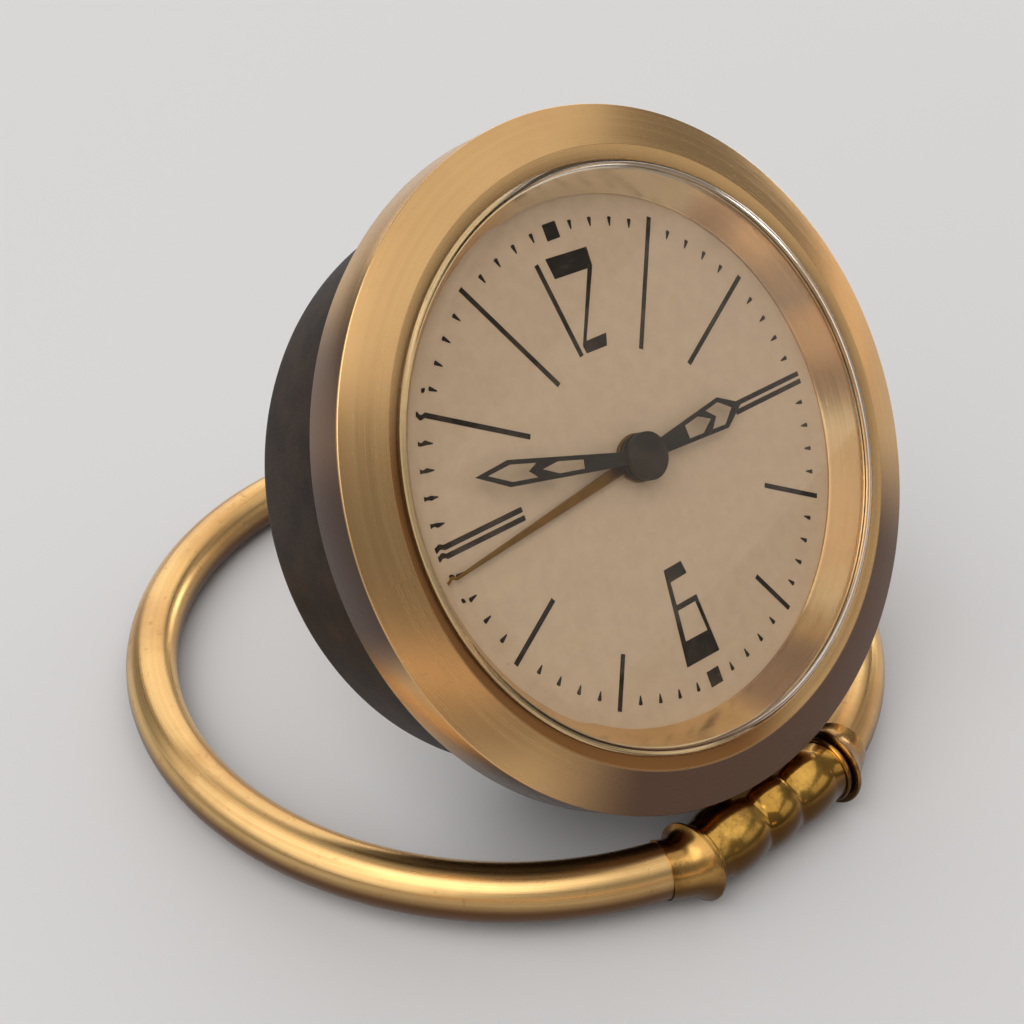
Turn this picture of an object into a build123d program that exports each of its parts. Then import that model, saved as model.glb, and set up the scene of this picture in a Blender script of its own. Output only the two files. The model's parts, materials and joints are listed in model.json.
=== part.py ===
"""Small round mechanical alarm clock whose case leans back on a hinged ring stand.

Millimetres, +Z up, the dial faces -Y and upwards, +X is the three o'clock side.
The origin is on the table, under the middle of the ring's footprint.
"""

import os
from math import asin, atan2, cos, degrees, radians, sin, sqrt

from build123d import *

os.makedirs("parts", exist_ok=True)

# Running and seating clearances
running_fit = 0.05
slack = 0.2

# Ring stand and hinge
tube_radius = 2.75
ring_radius = 38.83
ring_gap = 8.8
collar_radius = 4.05
collar_face = 9.7
collar_rim = 0.35
collar_width = 1.3
sleeve_length = 2.9
sleeve_middle = 1.0
sleeve_middle_radius = 3.3
sleeve_end_radius = 2.9
axle_radius = 1.2
axle_grip = 2.0
washer_radius = 2.3
bead_radius = 3.6
groove_radius = 3.15
middle_bead = 4.6
outer_bead = 5.3
neck_radius = 3.2
end_rim_radius = 3.45
end_rim_width = 0.6
saddle_length = 8.0
saddle_width = 3.0
saddle_gap = 0.4
saddle_screw_gap = 5.6

# Bezel, crystal and reflector
bezel_radius = 33.0
bezel_depth = 4.93
bezel_cone = 4.13
bezel_land = 1.27
bezel_wall = 2.0
bezel_rise = 1.25
mouth_rise = 0.98
lip_back = -0.15
crystal_flange = 1.2
flange_thickness = 0.75
crystal_wall = 0.6
crystal_height = 3.1
crystal_shoulder = 1.3
crown_height = 0.9
reflector_width = 2.4
reflector_top = 0.3
bezel_face_radius = bezel_radius - bezel_cone
mouth_radius = bezel_face_radius - bezel_land
reflector_foot = mouth_radius - reflector_width

# Place of the case on the hinge
lean = 34.1
hinge_setback = 2.96
hinge_drop = bezel_radius + bead_radius + saddle_gap

# Case shell and back
case_depth = 23.8
case_taper = 2.16
case_round = 3.0
case_front = -1.8
case_wall = 1.2
bore_wall = 1.6
plate_ledge = 1.4
rear_wall = 2.0
cover_margin = 4.34
cover_thickness = 1.0
cover_ledge = 3.0
cover_screws = 3
case_front_radius = bezel_radius - bezel_wall
case_rear_radius = case_front_radius - case_taper
case_bore = case_front_radius - bore_wall
cover_radius = case_rear_radius - cover_margin

# Dial and hands
dial_level = -2.95
dial_thickness = 0.4
foot_radius = 0.6
foot_inset = 1.6
hand_thickness = 0.25
alarm_hand_lift = 0.37
hand_spacing = 0.6
minute_hand_turn = 165.0
hour_hand_turn = 2.0
alarm_hand_turn = -174.0
minute_hand_reach = 19.2
minute_hand_widest = 15.6
minute_hand_width = 2.4
minute_hand_neck = 1.25
hour_hand_reach = 14.0
hour_hand_widest = 11.3
hour_hand_width = 3.2
hour_hand_neck = 1.4
alarm_hand_gap = 1.0
alarm_hand_width = 1.1
hand_rim = 0.42
hub_radius = 2.3
cap_height = 0.85

# Openings of the hands: flat end, shoulder and point of the inner one, then corner, notch, broadest and
# tip of the outer one, all measured from the hands' axis
minute_inner_window = (7.2, 10.2, 12.0)
minute_outer_window = (12.5, 13.4, 15.4, 17.9)
hour_inner_window = (6.2, 8.2, 9.7)
hour_outer_window = (9.3, 10.3, 11.2, 12.7)

# Movement plates
motion_depth = 2.23
plate_thickness = 1.4
plate_gap = 0.1
spacer_wall = 1.8
train_height = 6.8
bridge_thickness = 1.2
bridge_margin = 4.3
pillar_radius = 1.5
pillar_margin = 6.3
pillar_angles = (20, 75, 185, 280)
plate_radius = case_bore - plate_gap
bridge_radius = plate_radius - bridge_margin
pillar_circle = plate_radius - pillar_margin
screw_radius = 0.6
screw_head = 1.2
screw_head_height = 0.6

# Wheels; the train keeps its size against the plate that carries it
train_scale = plate_radius / 29.3
fine_arbor = 0.45
centre_arbor = 0.8
cannon_bore = 0.6
pipe_wall = 0.4
collet_radius = 1.0
setting_arbor = 0.7
winding_arbor = 1.2
wheel_thickness = 0.4
pinion_margin = 0.15
motion_module = 0.4 * train_scale
cannon_teeth = 10
minute_teeth = 30
minute_leaves = 8
hour_teeth = 32
alarm_teeth = 40
setting_teeth = 10
barrel_module = 0.36 * train_scale
time_barrel_teeth = 50
alarm_barrel_teeth = 40
centre_leaves = 10
striker_leaves = 8
centre_module = 0.32 * train_scale
centre_teeth = 48
third_leaves = 8
third_module = 0.27 * train_scale
third_teeth = 60
fourth_leaves = 6
fourth_module = 0.26 * train_scale
fourth_teeth = 48
escape_leaves = 6
escape_teeth = 15
escape_radius = 4.0 * train_scale
tooth_height = 0.9
tooth_tip = 0.65
tooth_root = 0.95
tip_share = 0.09
root_share = 0.23
ratchet_rise = 0.62
ratchet_tip = 0.74
stone_size = 0.7
stone_spread = 36
fork_hub = 1.0
striker_teeth = 15
striker_radius = 4.0 * train_scale
ratchet_teeth = 24
ratchet_radius = 4.0
ratchet_thickness = 0.6
lid_thickness = 0.3
barrel_thickness = 0.8
hammer_reach = 10.4 * train_scale
hammer_direction = 63.7
hammer_radius = 1.5
drum_wall = 0.6
drum_depth = 2.4
spring_strip = 0.25
spring_turns = 4
balance_radius = 6.0 * train_scale
balance_rim = 0.9
hairspring_turns = 4
hairspring_strip = 0.15
balance_height = 0.8
stud_radius = 0.6
hairspring_outer = 3.8 * train_scale

# Directions, from the dial's three o'clock, in which each arbor stands from the one before
minute_direction = -90
alarm_setting_direction = 140
time_barrel_direction = 200
alarm_barrel_direction = 105
alarm_barrel_distance = 16.5 * train_scale
striker_direction = 200
third_direction = 60
fourth_direction = -40
escape_direction = -60
pallet_direction = -105
pallet_distance = 5.6 * train_scale
balance_direction = -130
balance_gap = 0.6
hammer_spot = (-19.6 * train_scale, 10.2 * train_scale)
stop_spot = (10.5 * train_scale, 13.0 * train_scale)

# Keys, knobs and button behind the back cover
key_span = 13.0
key_wing = 4.6
key_waist = 2.8
key_thickness = 1.4
key_hub = 2.0
knob_radius = 2.9
knob_height = 3.6
knob_grooves = 18
button_radius = 1.8
button_stroke = 1.5
back_gap = 0.5

# Places worked out from the sizes above
sin_lean = sin(radians(lean))
cos_lean = cos(radians(lean))
ring_reach = sqrt(ring_radius**2 - ring_gap**2)
ring_pitch = asin((collar_radius - tube_radius) / (ring_reach + ring_radius))
stand_reach = (ring_reach + ring_radius) * cos(ring_pitch) + tube_radius
hinge = Vector(0, -(stand_reach - collar_radius) / 2, collar_radius)
right = Vector(1, 0, 0)
front = Vector(0, -cos_lean, sin_lean)
upward = Vector(0, sin_lean, cos_lean)
head = Plane(origin=hinge + upward * hinge_drop + front * hinge_setback, x_dir=right, z_dir=front)
barrel_half = collar_face - slack
collar_end = collar_face + collar_width
plate_front = dial_level - dial_thickness - motion_depth
plate_rear = plate_front - plate_thickness
bridge_front = plate_rear - train_height
bridge_rear = bridge_front - bridge_thickness
cover_rear = -case_depth
cover_front = cover_rear + cover_thickness
key_level = cover_rear - back_gap


def level(depth, spot=(0, 0), turn=0):
    """Plane square to the dial at a depth along its axis, centred on a spot and turned about it."""
    return Plane(head.location * Location((spot[0], spot[1], depth), (0, 0, turn)))


def section(spot=(0, 0)):
    """Plane through a spot's axis: its x runs outwards and its y towards the front."""
    return Plane(origin=head.from_local_coords((spot[0], spot[1], 0)), x_dir=right, z_dir=-upward)


def spindle(spot=(0, 0)):
    """Axis through a spot, square to the dial."""
    return Axis(head.from_local_coords((spot[0], spot[1], 0)), front)


def stepped(spot, distance, direction):
    """Spot at a distance and direction from another spot."""
    turn = radians(direction)
    return (spot[0] + distance * cos(turn), spot[1] + distance * sin(turn))


def disc(depth, radius, spot=(0, 0)):
    """Round face on a level."""
    with BuildSketch(level(depth, spot)) as face:
        Circle(radius)
    return face.sketch


def gear_pitch(teeth, module):
    """Pitch radius of a wheel."""
    return teeth * module / 2


def gear(depth, spot, teeth, module, turn):
    """Toothed face on a level, with thin straight-sided teeth that leave room to run."""
    pitch_radius = gear_pitch(teeth, module)
    step = 360 / teeth
    tip, root = pitch_radius + tooth_tip * module, pitch_radius - tooth_root * module
    corners = []
    for tooth in range(teeth):
        for share, radius in ((-root_share, root), (-tip_share, tip), (tip_share, tip), (root_share, root)):
            angle = radians(turn + (tooth + share) * step)
            corners.append((radius * cos(angle), radius * sin(angle)))
    with BuildSketch(level(depth, spot)) as face:
        Polygon(*corners, align=None)
    return face.sketch


def ratchet(depth, spot, teeth, radius, height, turn=0.0):
    """Face with pointed teeth that lean one way."""
    step = 360 / teeth
    corners = []
    for tooth in range(teeth):
        for share, reach in ((0.0, radius - height), (ratchet_rise, radius), (ratchet_tip, radius)):
            angle = radians(turn + (tooth + share) * step)
            corners.append((reach * cos(angle), reach * sin(angle)))
    with BuildSketch(level(depth, spot)) as face:
        Polygon(*corners, align=None)
    return face.sketch


def meshed(first_teeth, first_turn, second_teeth, direction):
    """Turn that puts a gap of the second wheel on a tooth of the first."""
    return direction + 180 + 180 / second_teeth - first_teeth / second_teeth * (first_turn - direction)


def spiral(depth, spot, inner, outer, turns, strip):
    """Face of a flat strip wound in half circles that grow from the inner radius to the outer."""
    halves = 2 * turns
    growth = (outer - inner) / halves
    with BuildSketch(level(depth, spot)) as face:
        with BuildLine():
            for edge in (-strip / 2, strip / 2):
                for half in range(halves):
                    side = 1 if half % 2 == 0 else -1
                    radius = inner + growth * half + edge
                    ThreePointArc(
                        (side * radius, 0),
                        (-side * growth / 2, side * (radius + growth / 2)),
                        (-side * (radius + growth), 0),
                    )
            Line((inner - strip / 2, 0), (inner + strip / 2, 0))
            Line((outer - strip / 2, 0), (outer + strip / 2, 0))
        make_face()
    return face.sketch


def open_hand(depth, turn, bore, outline, inner_window, outer_window):
    """Face of an open pointed hand on a level: its blade with a boss, two windows and a bore."""
    reach, widest, width, neck = outline
    flat, shoulder, point = inner_window
    corner, notch, broad, tip = outer_window

    def opening(radius):
        share = (radius - hub_radius) / (widest - hub_radius)
        return (neck + (width - neck) * share) / 2 - hand_rim

    with BuildSketch(level(depth, turn=turn)) as face:
        Polygon(
            (0, -neck / 2), (hub_radius, -neck / 2), (widest, -width / 2), (reach, 0),
            (widest, width / 2), (hub_radius, neck / 2), (0, neck / 2), align=None,
        )
        Circle(hub_radius)
        Polygon(
            (flat, -opening(flat)), (shoulder, -opening(shoulder)), (point, 0),
            (shoulder, opening(shoulder)), (flat, opening(flat)), align=None, mode=Mode.SUBTRACT,
        )
        Polygon(
            (corner, -opening(corner)), (broad, -opening(broad)), (tip, 0), (broad, opening(broad)),
            (corner, opening(corner)), (notch, 0), align=None, mode=Mode.SUBTRACT,
        )
        Circle(bore, mode=Mode.SUBTRACT)
    return face.sketch


def save(part, name):
    """Label a finished piece and write it."""
    part.label = name
    export_step(part, f"parts/{name}.step")


# Ring stand
ring_plane = Plane(origin=hinge, x_dir=right, z_dir=(0, sin(ring_pitch), cos(ring_pitch)))
ring_start = degrees(asin(collar_face / ring_radius))
with BuildPart() as stand_ring:
    with BuildLine(ring_plane) as ring_path:
        CenterArc((0, ring_reach), ring_radius, -90 + ring_start, 360 - 2 * ring_start)
    with BuildSketch(Plane(ring_path.line @ 0, z_dir=ring_path.line % 0)):
        Circle(tube_radius)
    sweep()
    with BuildSketch(Plane(hinge, x_dir=(0, 1, 0), z_dir=right)):
        Rectangle(6 * tube_radius, 6 * tube_radius)
    extrude(amount=collar_end, both=True, mode=Mode.SUBTRACT)
    with BuildSketch(Plane(hinge, x_dir=(0, 1, 0), z_dir=right)):
        Circle(axle_radius)
    extrude(amount=collar_end + axle_grip, both=True, mode=Mode.SUBTRACT)
save(stand_ring.part, "stand_ring")


# Collars at the ring's two ends: a thin rim that flares into a sleeve round the tube
flare_start = collar_face + collar_rim
flare = ((0, collar_radius), (sleeve_middle, sleeve_middle_radius), (sleeve_length, sleeve_end_radius))
for side, name in ((-1, "collar_left"), (1, "collar_right")):
    rim_plane = Plane(hinge + right * (side * collar_face), x_dir=(0, 1, 0), z_dir=right * side)
    with BuildPart() as collar:
        with BuildSketch(rim_plane):
            Circle(collar_radius)
        extrude(amount=collar_rim)
        fillet(collar.edges().sort_by(Axis(hinge, right * side))[0], collar_rim / 3)
        for distance, radius in flare:
            share = distance / sleeve_length
            swing = asin((flare_start + distance) / ring_radius)
            centre = Vector(side * (flare_start + distance), (ring_reach - ring_radius * cos(swing)) * share)
            tangent = ring_plane.x_dir * (side * cos(swing * share)) + ring_plane.y_dir * sin(swing * share)
            with BuildSketch(Plane(ring_plane.from_local_coords(centre), z_dir=tangent)):
                Circle(radius)
        loft()
        add(stand_ring.part, mode=Mode.SUBTRACT)
        with BuildSketch(rim_plane):
            Circle(axle_radius)
        extrude(amount=collar_width + axle_grip, mode=Mode.SUBTRACT)
    save(collar.part, name)

with BuildPart() as hinge_axle:
    with BuildSketch(Plane(hinge, x_dir=(0, 1, 0), z_dir=right)):
        Circle(axle_radius)
    extrude(amount=collar_end + axle_grip, both=True)
save(hinge_axle.part, "hinge_axle")

with BuildPart() as friction_washers:
    for side in (-1, 1):
        with BuildSketch(Plane(hinge + right * (side * collar_face), x_dir=(0, 1, 0), z_dir=right * -side)):
            Circle(washer_radius)
            Circle(axle_radius, mode=Mode.SUBTRACT)
        extrude(amount=slack - running_fit)
save(friction_washers.part, "friction_washers")

# Hinge barrel: three turned beads on a saddle that seats on the bezel's band
barrel_plane = Plane(origin=hinge, x_dir=right, z_dir=front.cross(right))
middle_bead_end = middle_bead / 2
outer_bead_end = middle_bead_end + outer_bead
outer_bead_middle = (outer_bead_end + middle_bead_end) / 2
rim_end = barrel_half - end_rim_width
with BuildPart() as hinge_barrel:
    with BuildSketch(barrel_plane):
        with BuildLine():
            Polyline(
                (-barrel_half, 0),
                (-barrel_half, end_rim_radius),
                (-rim_end, end_rim_radius),
                (-rim_end, neck_radius),
            )
            Line((-rim_end, neck_radius), (-outer_bead_end, neck_radius))
            ThreePointArc(
                (-outer_bead_end, neck_radius),
                (-outer_bead_middle, bead_radius),
                (-middle_bead_end, groove_radius),
            )
            ThreePointArc(
                (-middle_bead_end, groove_radius), (0, bead_radius), (middle_bead_end, groove_radius)
            )
            ThreePointArc(
                (middle_bead_end, groove_radius),
                (outer_bead_middle, bead_radius),
                (outer_bead_end, neck_radius),
            )
            Line((outer_bead_end, neck_radius), (rim_end, neck_radius))
            Polyline(
                (rim_end, neck_radius),
                (rim_end, end_rim_radius),
                (barrel_half, end_rim_radius),
                (barrel_half, 0),
            )
            Line((barrel_half, 0), (-barrel_half, 0))
        make_face()
    revolve(axis=Axis(hinge, right))
    with BuildSketch(Plane(origin=hinge, x_dir=right, z_dir=upward)):
        Rectangle(saddle_length, saddle_width)
    extrude(amount=hinge_drop - bezel_radius + bead_radius)
    with BuildSketch(level(0)):
        Circle(bezel_radius)
    extrude(amount=-2 * bezel_depth, both=True, mode=Mode.SUBTRACT)
    with BuildSketch(Plane(hinge, x_dir=(0, 1, 0), z_dir=right)):
        Circle(axle_radius + running_fit)
    extrude(amount=barrel_half, both=True, mode=Mode.SUBTRACT)
    with BuildSketch(Plane(origin=hinge + upward * (axle_radius + slack), x_dir=right, z_dir=upward)):
        with GridLocations(saddle_screw_gap, 1, 2, 1):
            Circle(screw_radius)
    extrude(amount=hinge_drop, mode=Mode.SUBTRACT)
save(hinge_barrel.part, "hinge_barrel")

# Bezel with its wide coned face, crystal lip and the rebate that grips the case
screw_seat = bezel_radius - (bezel_radius - case_front_radius) / 2
saddle_screws_plane = Plane(origin=hinge, x_dir=right, z_dir=upward)
with BuildPart() as bezel:
    with BuildSketch(section()):
        Polygon(
            (bezel_radius, 0),
            (bezel_face_radius, bezel_rise),
            (mouth_radius, mouth_rise),
            (mouth_radius, lip_back),
            (mouth_radius + crystal_flange + slack / 2, lip_back),
            (mouth_radius + crystal_flange + slack / 2, case_front),
            (case_front_radius, case_front),
            (case_front_radius, -bezel_depth),
            (bezel_radius - slack / 2, -bezel_depth),
            (bezel_radius, -bezel_depth + slack),
            align=None,
        )
    revolve(axis=spindle())
    with BuildSketch(saddle_screws_plane):
        with GridLocations(saddle_screw_gap, 1, 2, 1):
            Circle(screw_radius)
    extrude(amount=hinge_drop - case_front_radius + 2 * slack, mode=Mode.SUBTRACT)
    with BuildSketch(saddle_screws_plane.offset(hinge_drop - screw_seat)):
        with GridLocations(saddle_screw_gap, 1, 2, 1):
            Circle(screw_head + slack / 2)
    extrude(amount=screw_seat - case_front_radius + 2 * slack, mode=Mode.SUBTRACT)
save(bezel.part, "bezel")

with BuildPart() as saddle_screws:
    with BuildSketch(saddle_screws_plane.offset(axle_radius + slack)):
        with GridLocations(saddle_screw_gap, 1, 2, 1):
            Circle(screw_radius)
    extrude(amount=hinge_drop - screw_seat - axle_radius - slack)
    with BuildSketch(saddle_screws_plane.offset(hinge_drop - screw_seat)):
        with GridLocations(saddle_screw_gap, 1, 2, 1):
            Circle(screw_head)
    extrude(amount=screw_seat - case_front_radius)
save(saddle_screws.part, "saddle_screws")

# Domed crystal with a steep rounded shoulder
crystal_radius = mouth_radius - slack
flange_rear = lip_back - flange_thickness
shoulder_rise = crystal_height - crown_height
crown_radius = crystal_radius - crystal_shoulder
inner_radius = crystal_radius - crystal_wall
inner_rise = shoulder_rise - crystal_wall
inner_crown = inner_radius - crystal_shoulder / 2
shoulder_out = crystal_shoulder * sin(radians(45))
with BuildPart() as crystal:
    with BuildSketch(section()):
        with BuildLine():
            TangentArc((0, crystal_height), (crown_radius, shoulder_rise), tangent=(1, 0))
            ThreePointArc(
                (crown_radius, shoulder_rise),
                (crown_radius + shoulder_out, shoulder_rise - crystal_shoulder + shoulder_out),
                (crystal_radius, shoulder_rise - crystal_shoulder),
            )
            Polyline(
                (crystal_radius, shoulder_rise - crystal_shoulder),
                (crystal_radius, lip_back),
                (mouth_radius + crystal_flange, lip_back),
                (mouth_radius + crystal_flange, flange_rear),
                (inner_radius, flange_rear),
                (inner_radius, inner_rise - crystal_shoulder / 2),
                (inner_crown, inner_rise),
            )
            TangentArc((0, crystal_height - crystal_wall), (inner_crown, inner_rise), tangent=(1, 0))
            Line((0, crystal_height - crystal_wall), (0, crystal_height))
        make_face()
    revolve(axis=spindle())
save(crystal.part, "crystal")

# Reflector ring: its slope rises inside the crystal's skirt and its flange holds the crystal in the bezel
with BuildPart() as reflector_ring:
    with BuildSketch(section()):
        Polygon(
            (reflector_foot, dial_level),
            (reflector_foot, dial_level + slack),
            (inner_radius - slack, reflector_top),
            (inner_radius, reflector_top),
            (inner_radius, flange_rear),
            (mouth_radius + crystal_flange, flange_rear),
            (mouth_radius + crystal_flange, dial_level),
            align=None,
        )
    revolve(axis=spindle())
save(reflector_ring.part, "reflector_ring")

# Case shell, tapered towards a rounded rear edge, with a ledge for the plate and one for the cover
with BuildPart() as case_body:
    with BuildSketch(section()):
        with BuildLine():
            FilletPolyline(
                (case_front_radius, -bezel_depth),
                (case_rear_radius, cover_rear),
                (cover_radius + slack / 2, cover_rear),
                radius=case_round,
            )
            Polyline(
                (cover_radius + slack / 2, cover_rear),
                (cover_radius + slack / 2, cover_front),
                (cover_radius - cover_ledge, cover_front),
                (cover_radius - cover_ledge, cover_front + rear_wall),
                (case_rear_radius - case_wall - case_round / 2, cover_front + rear_wall),
                (case_rear_radius - case_wall, cover_front + rear_wall + case_round / 2),
                (case_front_radius - case_wall - slack, plate_rear - plate_ledge),
                (case_bore - plate_ledge, plate_rear - plate_ledge),
                (case_bore - plate_ledge, plate_rear),
                (case_bore, plate_rear),
                (case_bore, case_front),
                (case_front_radius, case_front),
                (case_front_radius, -bezel_depth),
            )
        make_face()
    revolve(axis=spindle())
    with BuildSketch(level(cover_front)):
        with PolarLocations(cover_radius - cover_ledge / 2, cover_screws):
            Circle(screw_radius)
    extrude(amount=rear_wall, mode=Mode.SUBTRACT)
save(case_body.part, "case_body")

# Spots of the arbors on the dial
minute_spot = stepped((0, 0), motion_module * (cannon_teeth + minute_teeth) / 2, minute_direction)
setting_distance = motion_module * (minute_teeth + setting_teeth) / 2
hand_setting_spot = stepped(minute_spot, setting_distance, minute_direction)
alarm_setting_spot = stepped(
    (0, 0), motion_module * (alarm_teeth + setting_teeth) / 2, alarm_setting_direction
)
time_barrel_spot = stepped(
    (0, 0), barrel_module * (time_barrel_teeth + centre_leaves) / 2, time_barrel_direction
)
alarm_barrel_spot = stepped((0, 0), alarm_barrel_distance, alarm_barrel_direction)
striker_spot = stepped(
    alarm_barrel_spot, barrel_module * (alarm_barrel_teeth + striker_leaves) / 2, striker_direction
)
third_spot = stepped((0, 0), centre_module * (centre_teeth + third_leaves) / 2, third_direction)
fourth_spot = stepped(third_spot, third_module * (third_teeth + fourth_leaves) / 2, fourth_direction)
escape_spot = stepped(fourth_spot, fourth_module * (fourth_teeth + escape_leaves) / 2, escape_direction)
pallet_spot = stepped(escape_spot, pallet_distance, pallet_direction)
balance_distance = balance_radius + fine_arbor + balance_gap
balance_spot = stepped(pallet_spot, balance_distance, balance_direction)
fine_spots = (third_spot, fourth_spot, escape_spot, pallet_spot, balance_spot, striker_spot, hammer_spot)
setting_spots = (hand_setting_spot, alarm_setting_spot)
winding_spots = (time_barrel_spot, alarm_barrel_spot)

# Levels of the wheels, from the dial backwards
pinion_length = wheel_thickness + 2 * pinion_margin
cannon_level = plate_front + slack / 2
hour_level = cannon_level + wheel_thickness + slack
alarm_level = hour_level + wheel_thickness + 2 * slack
third_level = plate_rear - slack - pinion_margin - wheel_thickness
centre_level = third_level - pinion_length - 2 * slack - wheel_thickness
barrel_level = centre_level - 2 * slack - 2 * pinion_margin - barrel_thickness
fourth_level = centre_level - 4 * slack - wheel_thickness
escape_level = fourth_level - 5 * slack - wheel_thickness
balance_level = centre_level
arbor_front = plate_front - slack
arbor_rear = bridge_rear + slack
minute_hand_level = dial_level + alarm_hand_lift + 2 * hand_spacing
hour_hand_level = dial_level + alarm_hand_lift + hand_spacing
alarm_hand_level = dial_level + alarm_hand_lift
cannon_pipe = cannon_bore + running_fit + pipe_wall
hour_pipe = cannon_pipe + running_fit + pipe_wall
alarm_pipe = hour_pipe + running_fit + pipe_wall

# Dial, with two feet that pass into the plate
foot_circle = reflector_foot - foot_inset
with BuildPart() as dial:
    extrude(disc(dial_level, mouth_radius + crystal_flange), amount=-dial_thickness)
    with BuildSketch(level(dial_level - dial_thickness)):
        with PolarLocations(foot_circle, 2):
            Circle(foot_radius)
    extrude(amount=plate_rear - dial_level + dial_thickness)
    extrude(disc(dial_level, alarm_pipe + running_fit), amount=-dial_thickness, mode=Mode.SUBTRACT)
save(dial.part, "dial")

with BuildPart() as dial_spacer:
    with BuildSketch(level(plate_front)):
        Circle(plate_radius)
        Circle(plate_radius - spacer_wall, mode=Mode.SUBTRACT)
    extrude(amount=dial_level - dial_thickness - plate_front)
save(dial_spacer.part, "dial_spacer")

# Movement plates, pillars and their screws
with BuildPart() as main_plate:
    extrude(disc(plate_rear, plate_radius), amount=plate_thickness)
    extrude(disc(plate_rear, centre_arbor + running_fit), amount=plate_thickness, mode=Mode.SUBTRACT)
    with BuildSketch(level(plate_rear)):
        with Locations(*fine_spots):
            Circle(fine_arbor + running_fit)
        with Locations(*setting_spots):
            Circle(setting_arbor + running_fit)
        with Locations(*winding_spots):
            Circle(winding_arbor + running_fit)
        with Locations(minute_spot):
            Circle(setting_arbor)
        with PolarLocations(foot_circle, 2):
            Circle(foot_radius)
    extrude(amount=plate_thickness, mode=Mode.SUBTRACT)
save(main_plate.part, "main_plate")

pillar_spots = [stepped((0, 0), pillar_circle, angle) for angle in pillar_angles]
with BuildPart() as pillars:
    with BuildSketch(level(bridge_front)):
        with Locations(*pillar_spots):
            Circle(pillar_radius)
            Circle(screw_radius, mode=Mode.SUBTRACT)
    extrude(amount=train_height)
save(pillars.part, "pillars")

with BuildPart() as train_bridge:
    extrude(disc(bridge_rear, bridge_radius), amount=bridge_thickness)
    extrude(disc(bridge_rear, centre_arbor + running_fit), amount=bridge_thickness, mode=Mode.SUBTRACT)
    with BuildSketch(level(bridge_rear)):
        with Locations(*fine_spots):
            Circle(fine_arbor + running_fit)
        with Locations(*setting_spots):
            Circle(setting_arbor + running_fit)
        with Locations(*winding_spots):
            Circle(winding_arbor + running_fit)
        with Locations(*pillar_spots):
            Circle(screw_radius)
        with Locations(stop_spot):
            Circle(button_radius + slack)
    extrude(amount=bridge_thickness, mode=Mode.SUBTRACT)
save(train_bridge.part, "train_bridge")

with BuildPart() as plate_screws:
    with BuildSketch(level(bridge_rear)):
        with Locations(*pillar_spots):
            Circle(screw_radius)
    extrude(amount=bridge_thickness + train_height / 2)
    with BuildSketch(level(bridge_rear)):
        with Locations(*pillar_spots):
            Circle(screw_head)
    extrude(amount=-screw_head_height)
save(plate_screws.part, "plate_screws")

# Back cover with the holes for keys, knobs and button
with BuildPart() as back_cover:
    extrude(disc(cover_rear, cover_radius), amount=cover_thickness)
    with BuildSketch(level(cover_rear)):
        with Locations(*setting_spots):
            Circle(setting_arbor + slack)
        with Locations(*winding_spots):
            Circle(winding_arbor + slack)
        with Locations(stop_spot):
            Circle(button_radius + running_fit)
        with PolarLocations(cover_radius - cover_ledge / 2, cover_screws):
            Circle(screw_radius)
    extrude(amount=cover_thickness, mode=Mode.SUBTRACT)
save(back_cover.part, "back_cover")

with BuildPart() as cover_screw_set:
    with BuildSketch(level(cover_rear)):
        with PolarLocations(cover_radius - cover_ledge / 2, cover_screws):
            Circle(screw_radius)
    extrude(amount=cover_thickness + rear_wall)
    with BuildSketch(level(cover_rear)):
        with PolarLocations(cover_radius - cover_ledge / 2, cover_screws):
            Circle(screw_head)
    extrude(amount=-screw_head_height)
save(cover_screw_set.part, "cover_screws")

# Motion work under the dial
cannon_turn = 0
with BuildPart() as cannon_pinion:
    extrude(gear(cannon_level, (0, 0), cannon_teeth, motion_module, cannon_turn), amount=wheel_thickness)
    extrude(disc(cannon_level, cannon_pipe), amount=minute_hand_level + hand_thickness - cannon_level)
    cannon_length = minute_hand_level + hand_thickness - cannon_level
    extrude(disc(cannon_level, cannon_bore + running_fit), amount=cannon_length, mode=Mode.SUBTRACT)
save(cannon_pinion.part, "cannon_pinion")

minute_turn = meshed(cannon_teeth, cannon_turn, minute_teeth, minute_direction)
leaf_turn = 0
leaf_bottom = cannon_level + wheel_thickness
with BuildPart() as minute_wheel:
    extrude(gear(cannon_level, minute_spot, minute_teeth, motion_module, minute_turn), amount=wheel_thickness)
    extrude(
        gear(leaf_bottom, minute_spot, minute_leaves, motion_module, leaf_turn),
        amount=hour_level + wheel_thickness + slack / 2 - leaf_bottom,
    )
    minute_bore = hour_level + wheel_thickness + slack / 2 - cannon_level
    extrude(
        disc(cannon_level, setting_arbor + running_fit, minute_spot), amount=minute_bore, mode=Mode.SUBTRACT
    )
save(minute_wheel.part, "minute_wheel")

with BuildPart() as minute_wheel_post:
    post_length = hour_level + wheel_thickness - plate_rear
    extrude(disc(plate_rear, setting_arbor, minute_spot), amount=post_length)
save(minute_wheel_post.part, "minute_wheel_post")

hour_turn = meshed(minute_leaves, leaf_turn, hour_teeth, minute_direction + 180)
with BuildPart() as hour_wheel:
    extrude(gear(hour_level, (0, 0), hour_teeth, motion_module, hour_turn), amount=wheel_thickness)
    hour_length = hour_hand_level + hand_thickness - hour_level
    extrude(disc(hour_level, hour_pipe), amount=hour_length)
    extrude(disc(hour_level, cannon_pipe + running_fit), amount=hour_length, mode=Mode.SUBTRACT)
save(hour_wheel.part, "hour_wheel")

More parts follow.
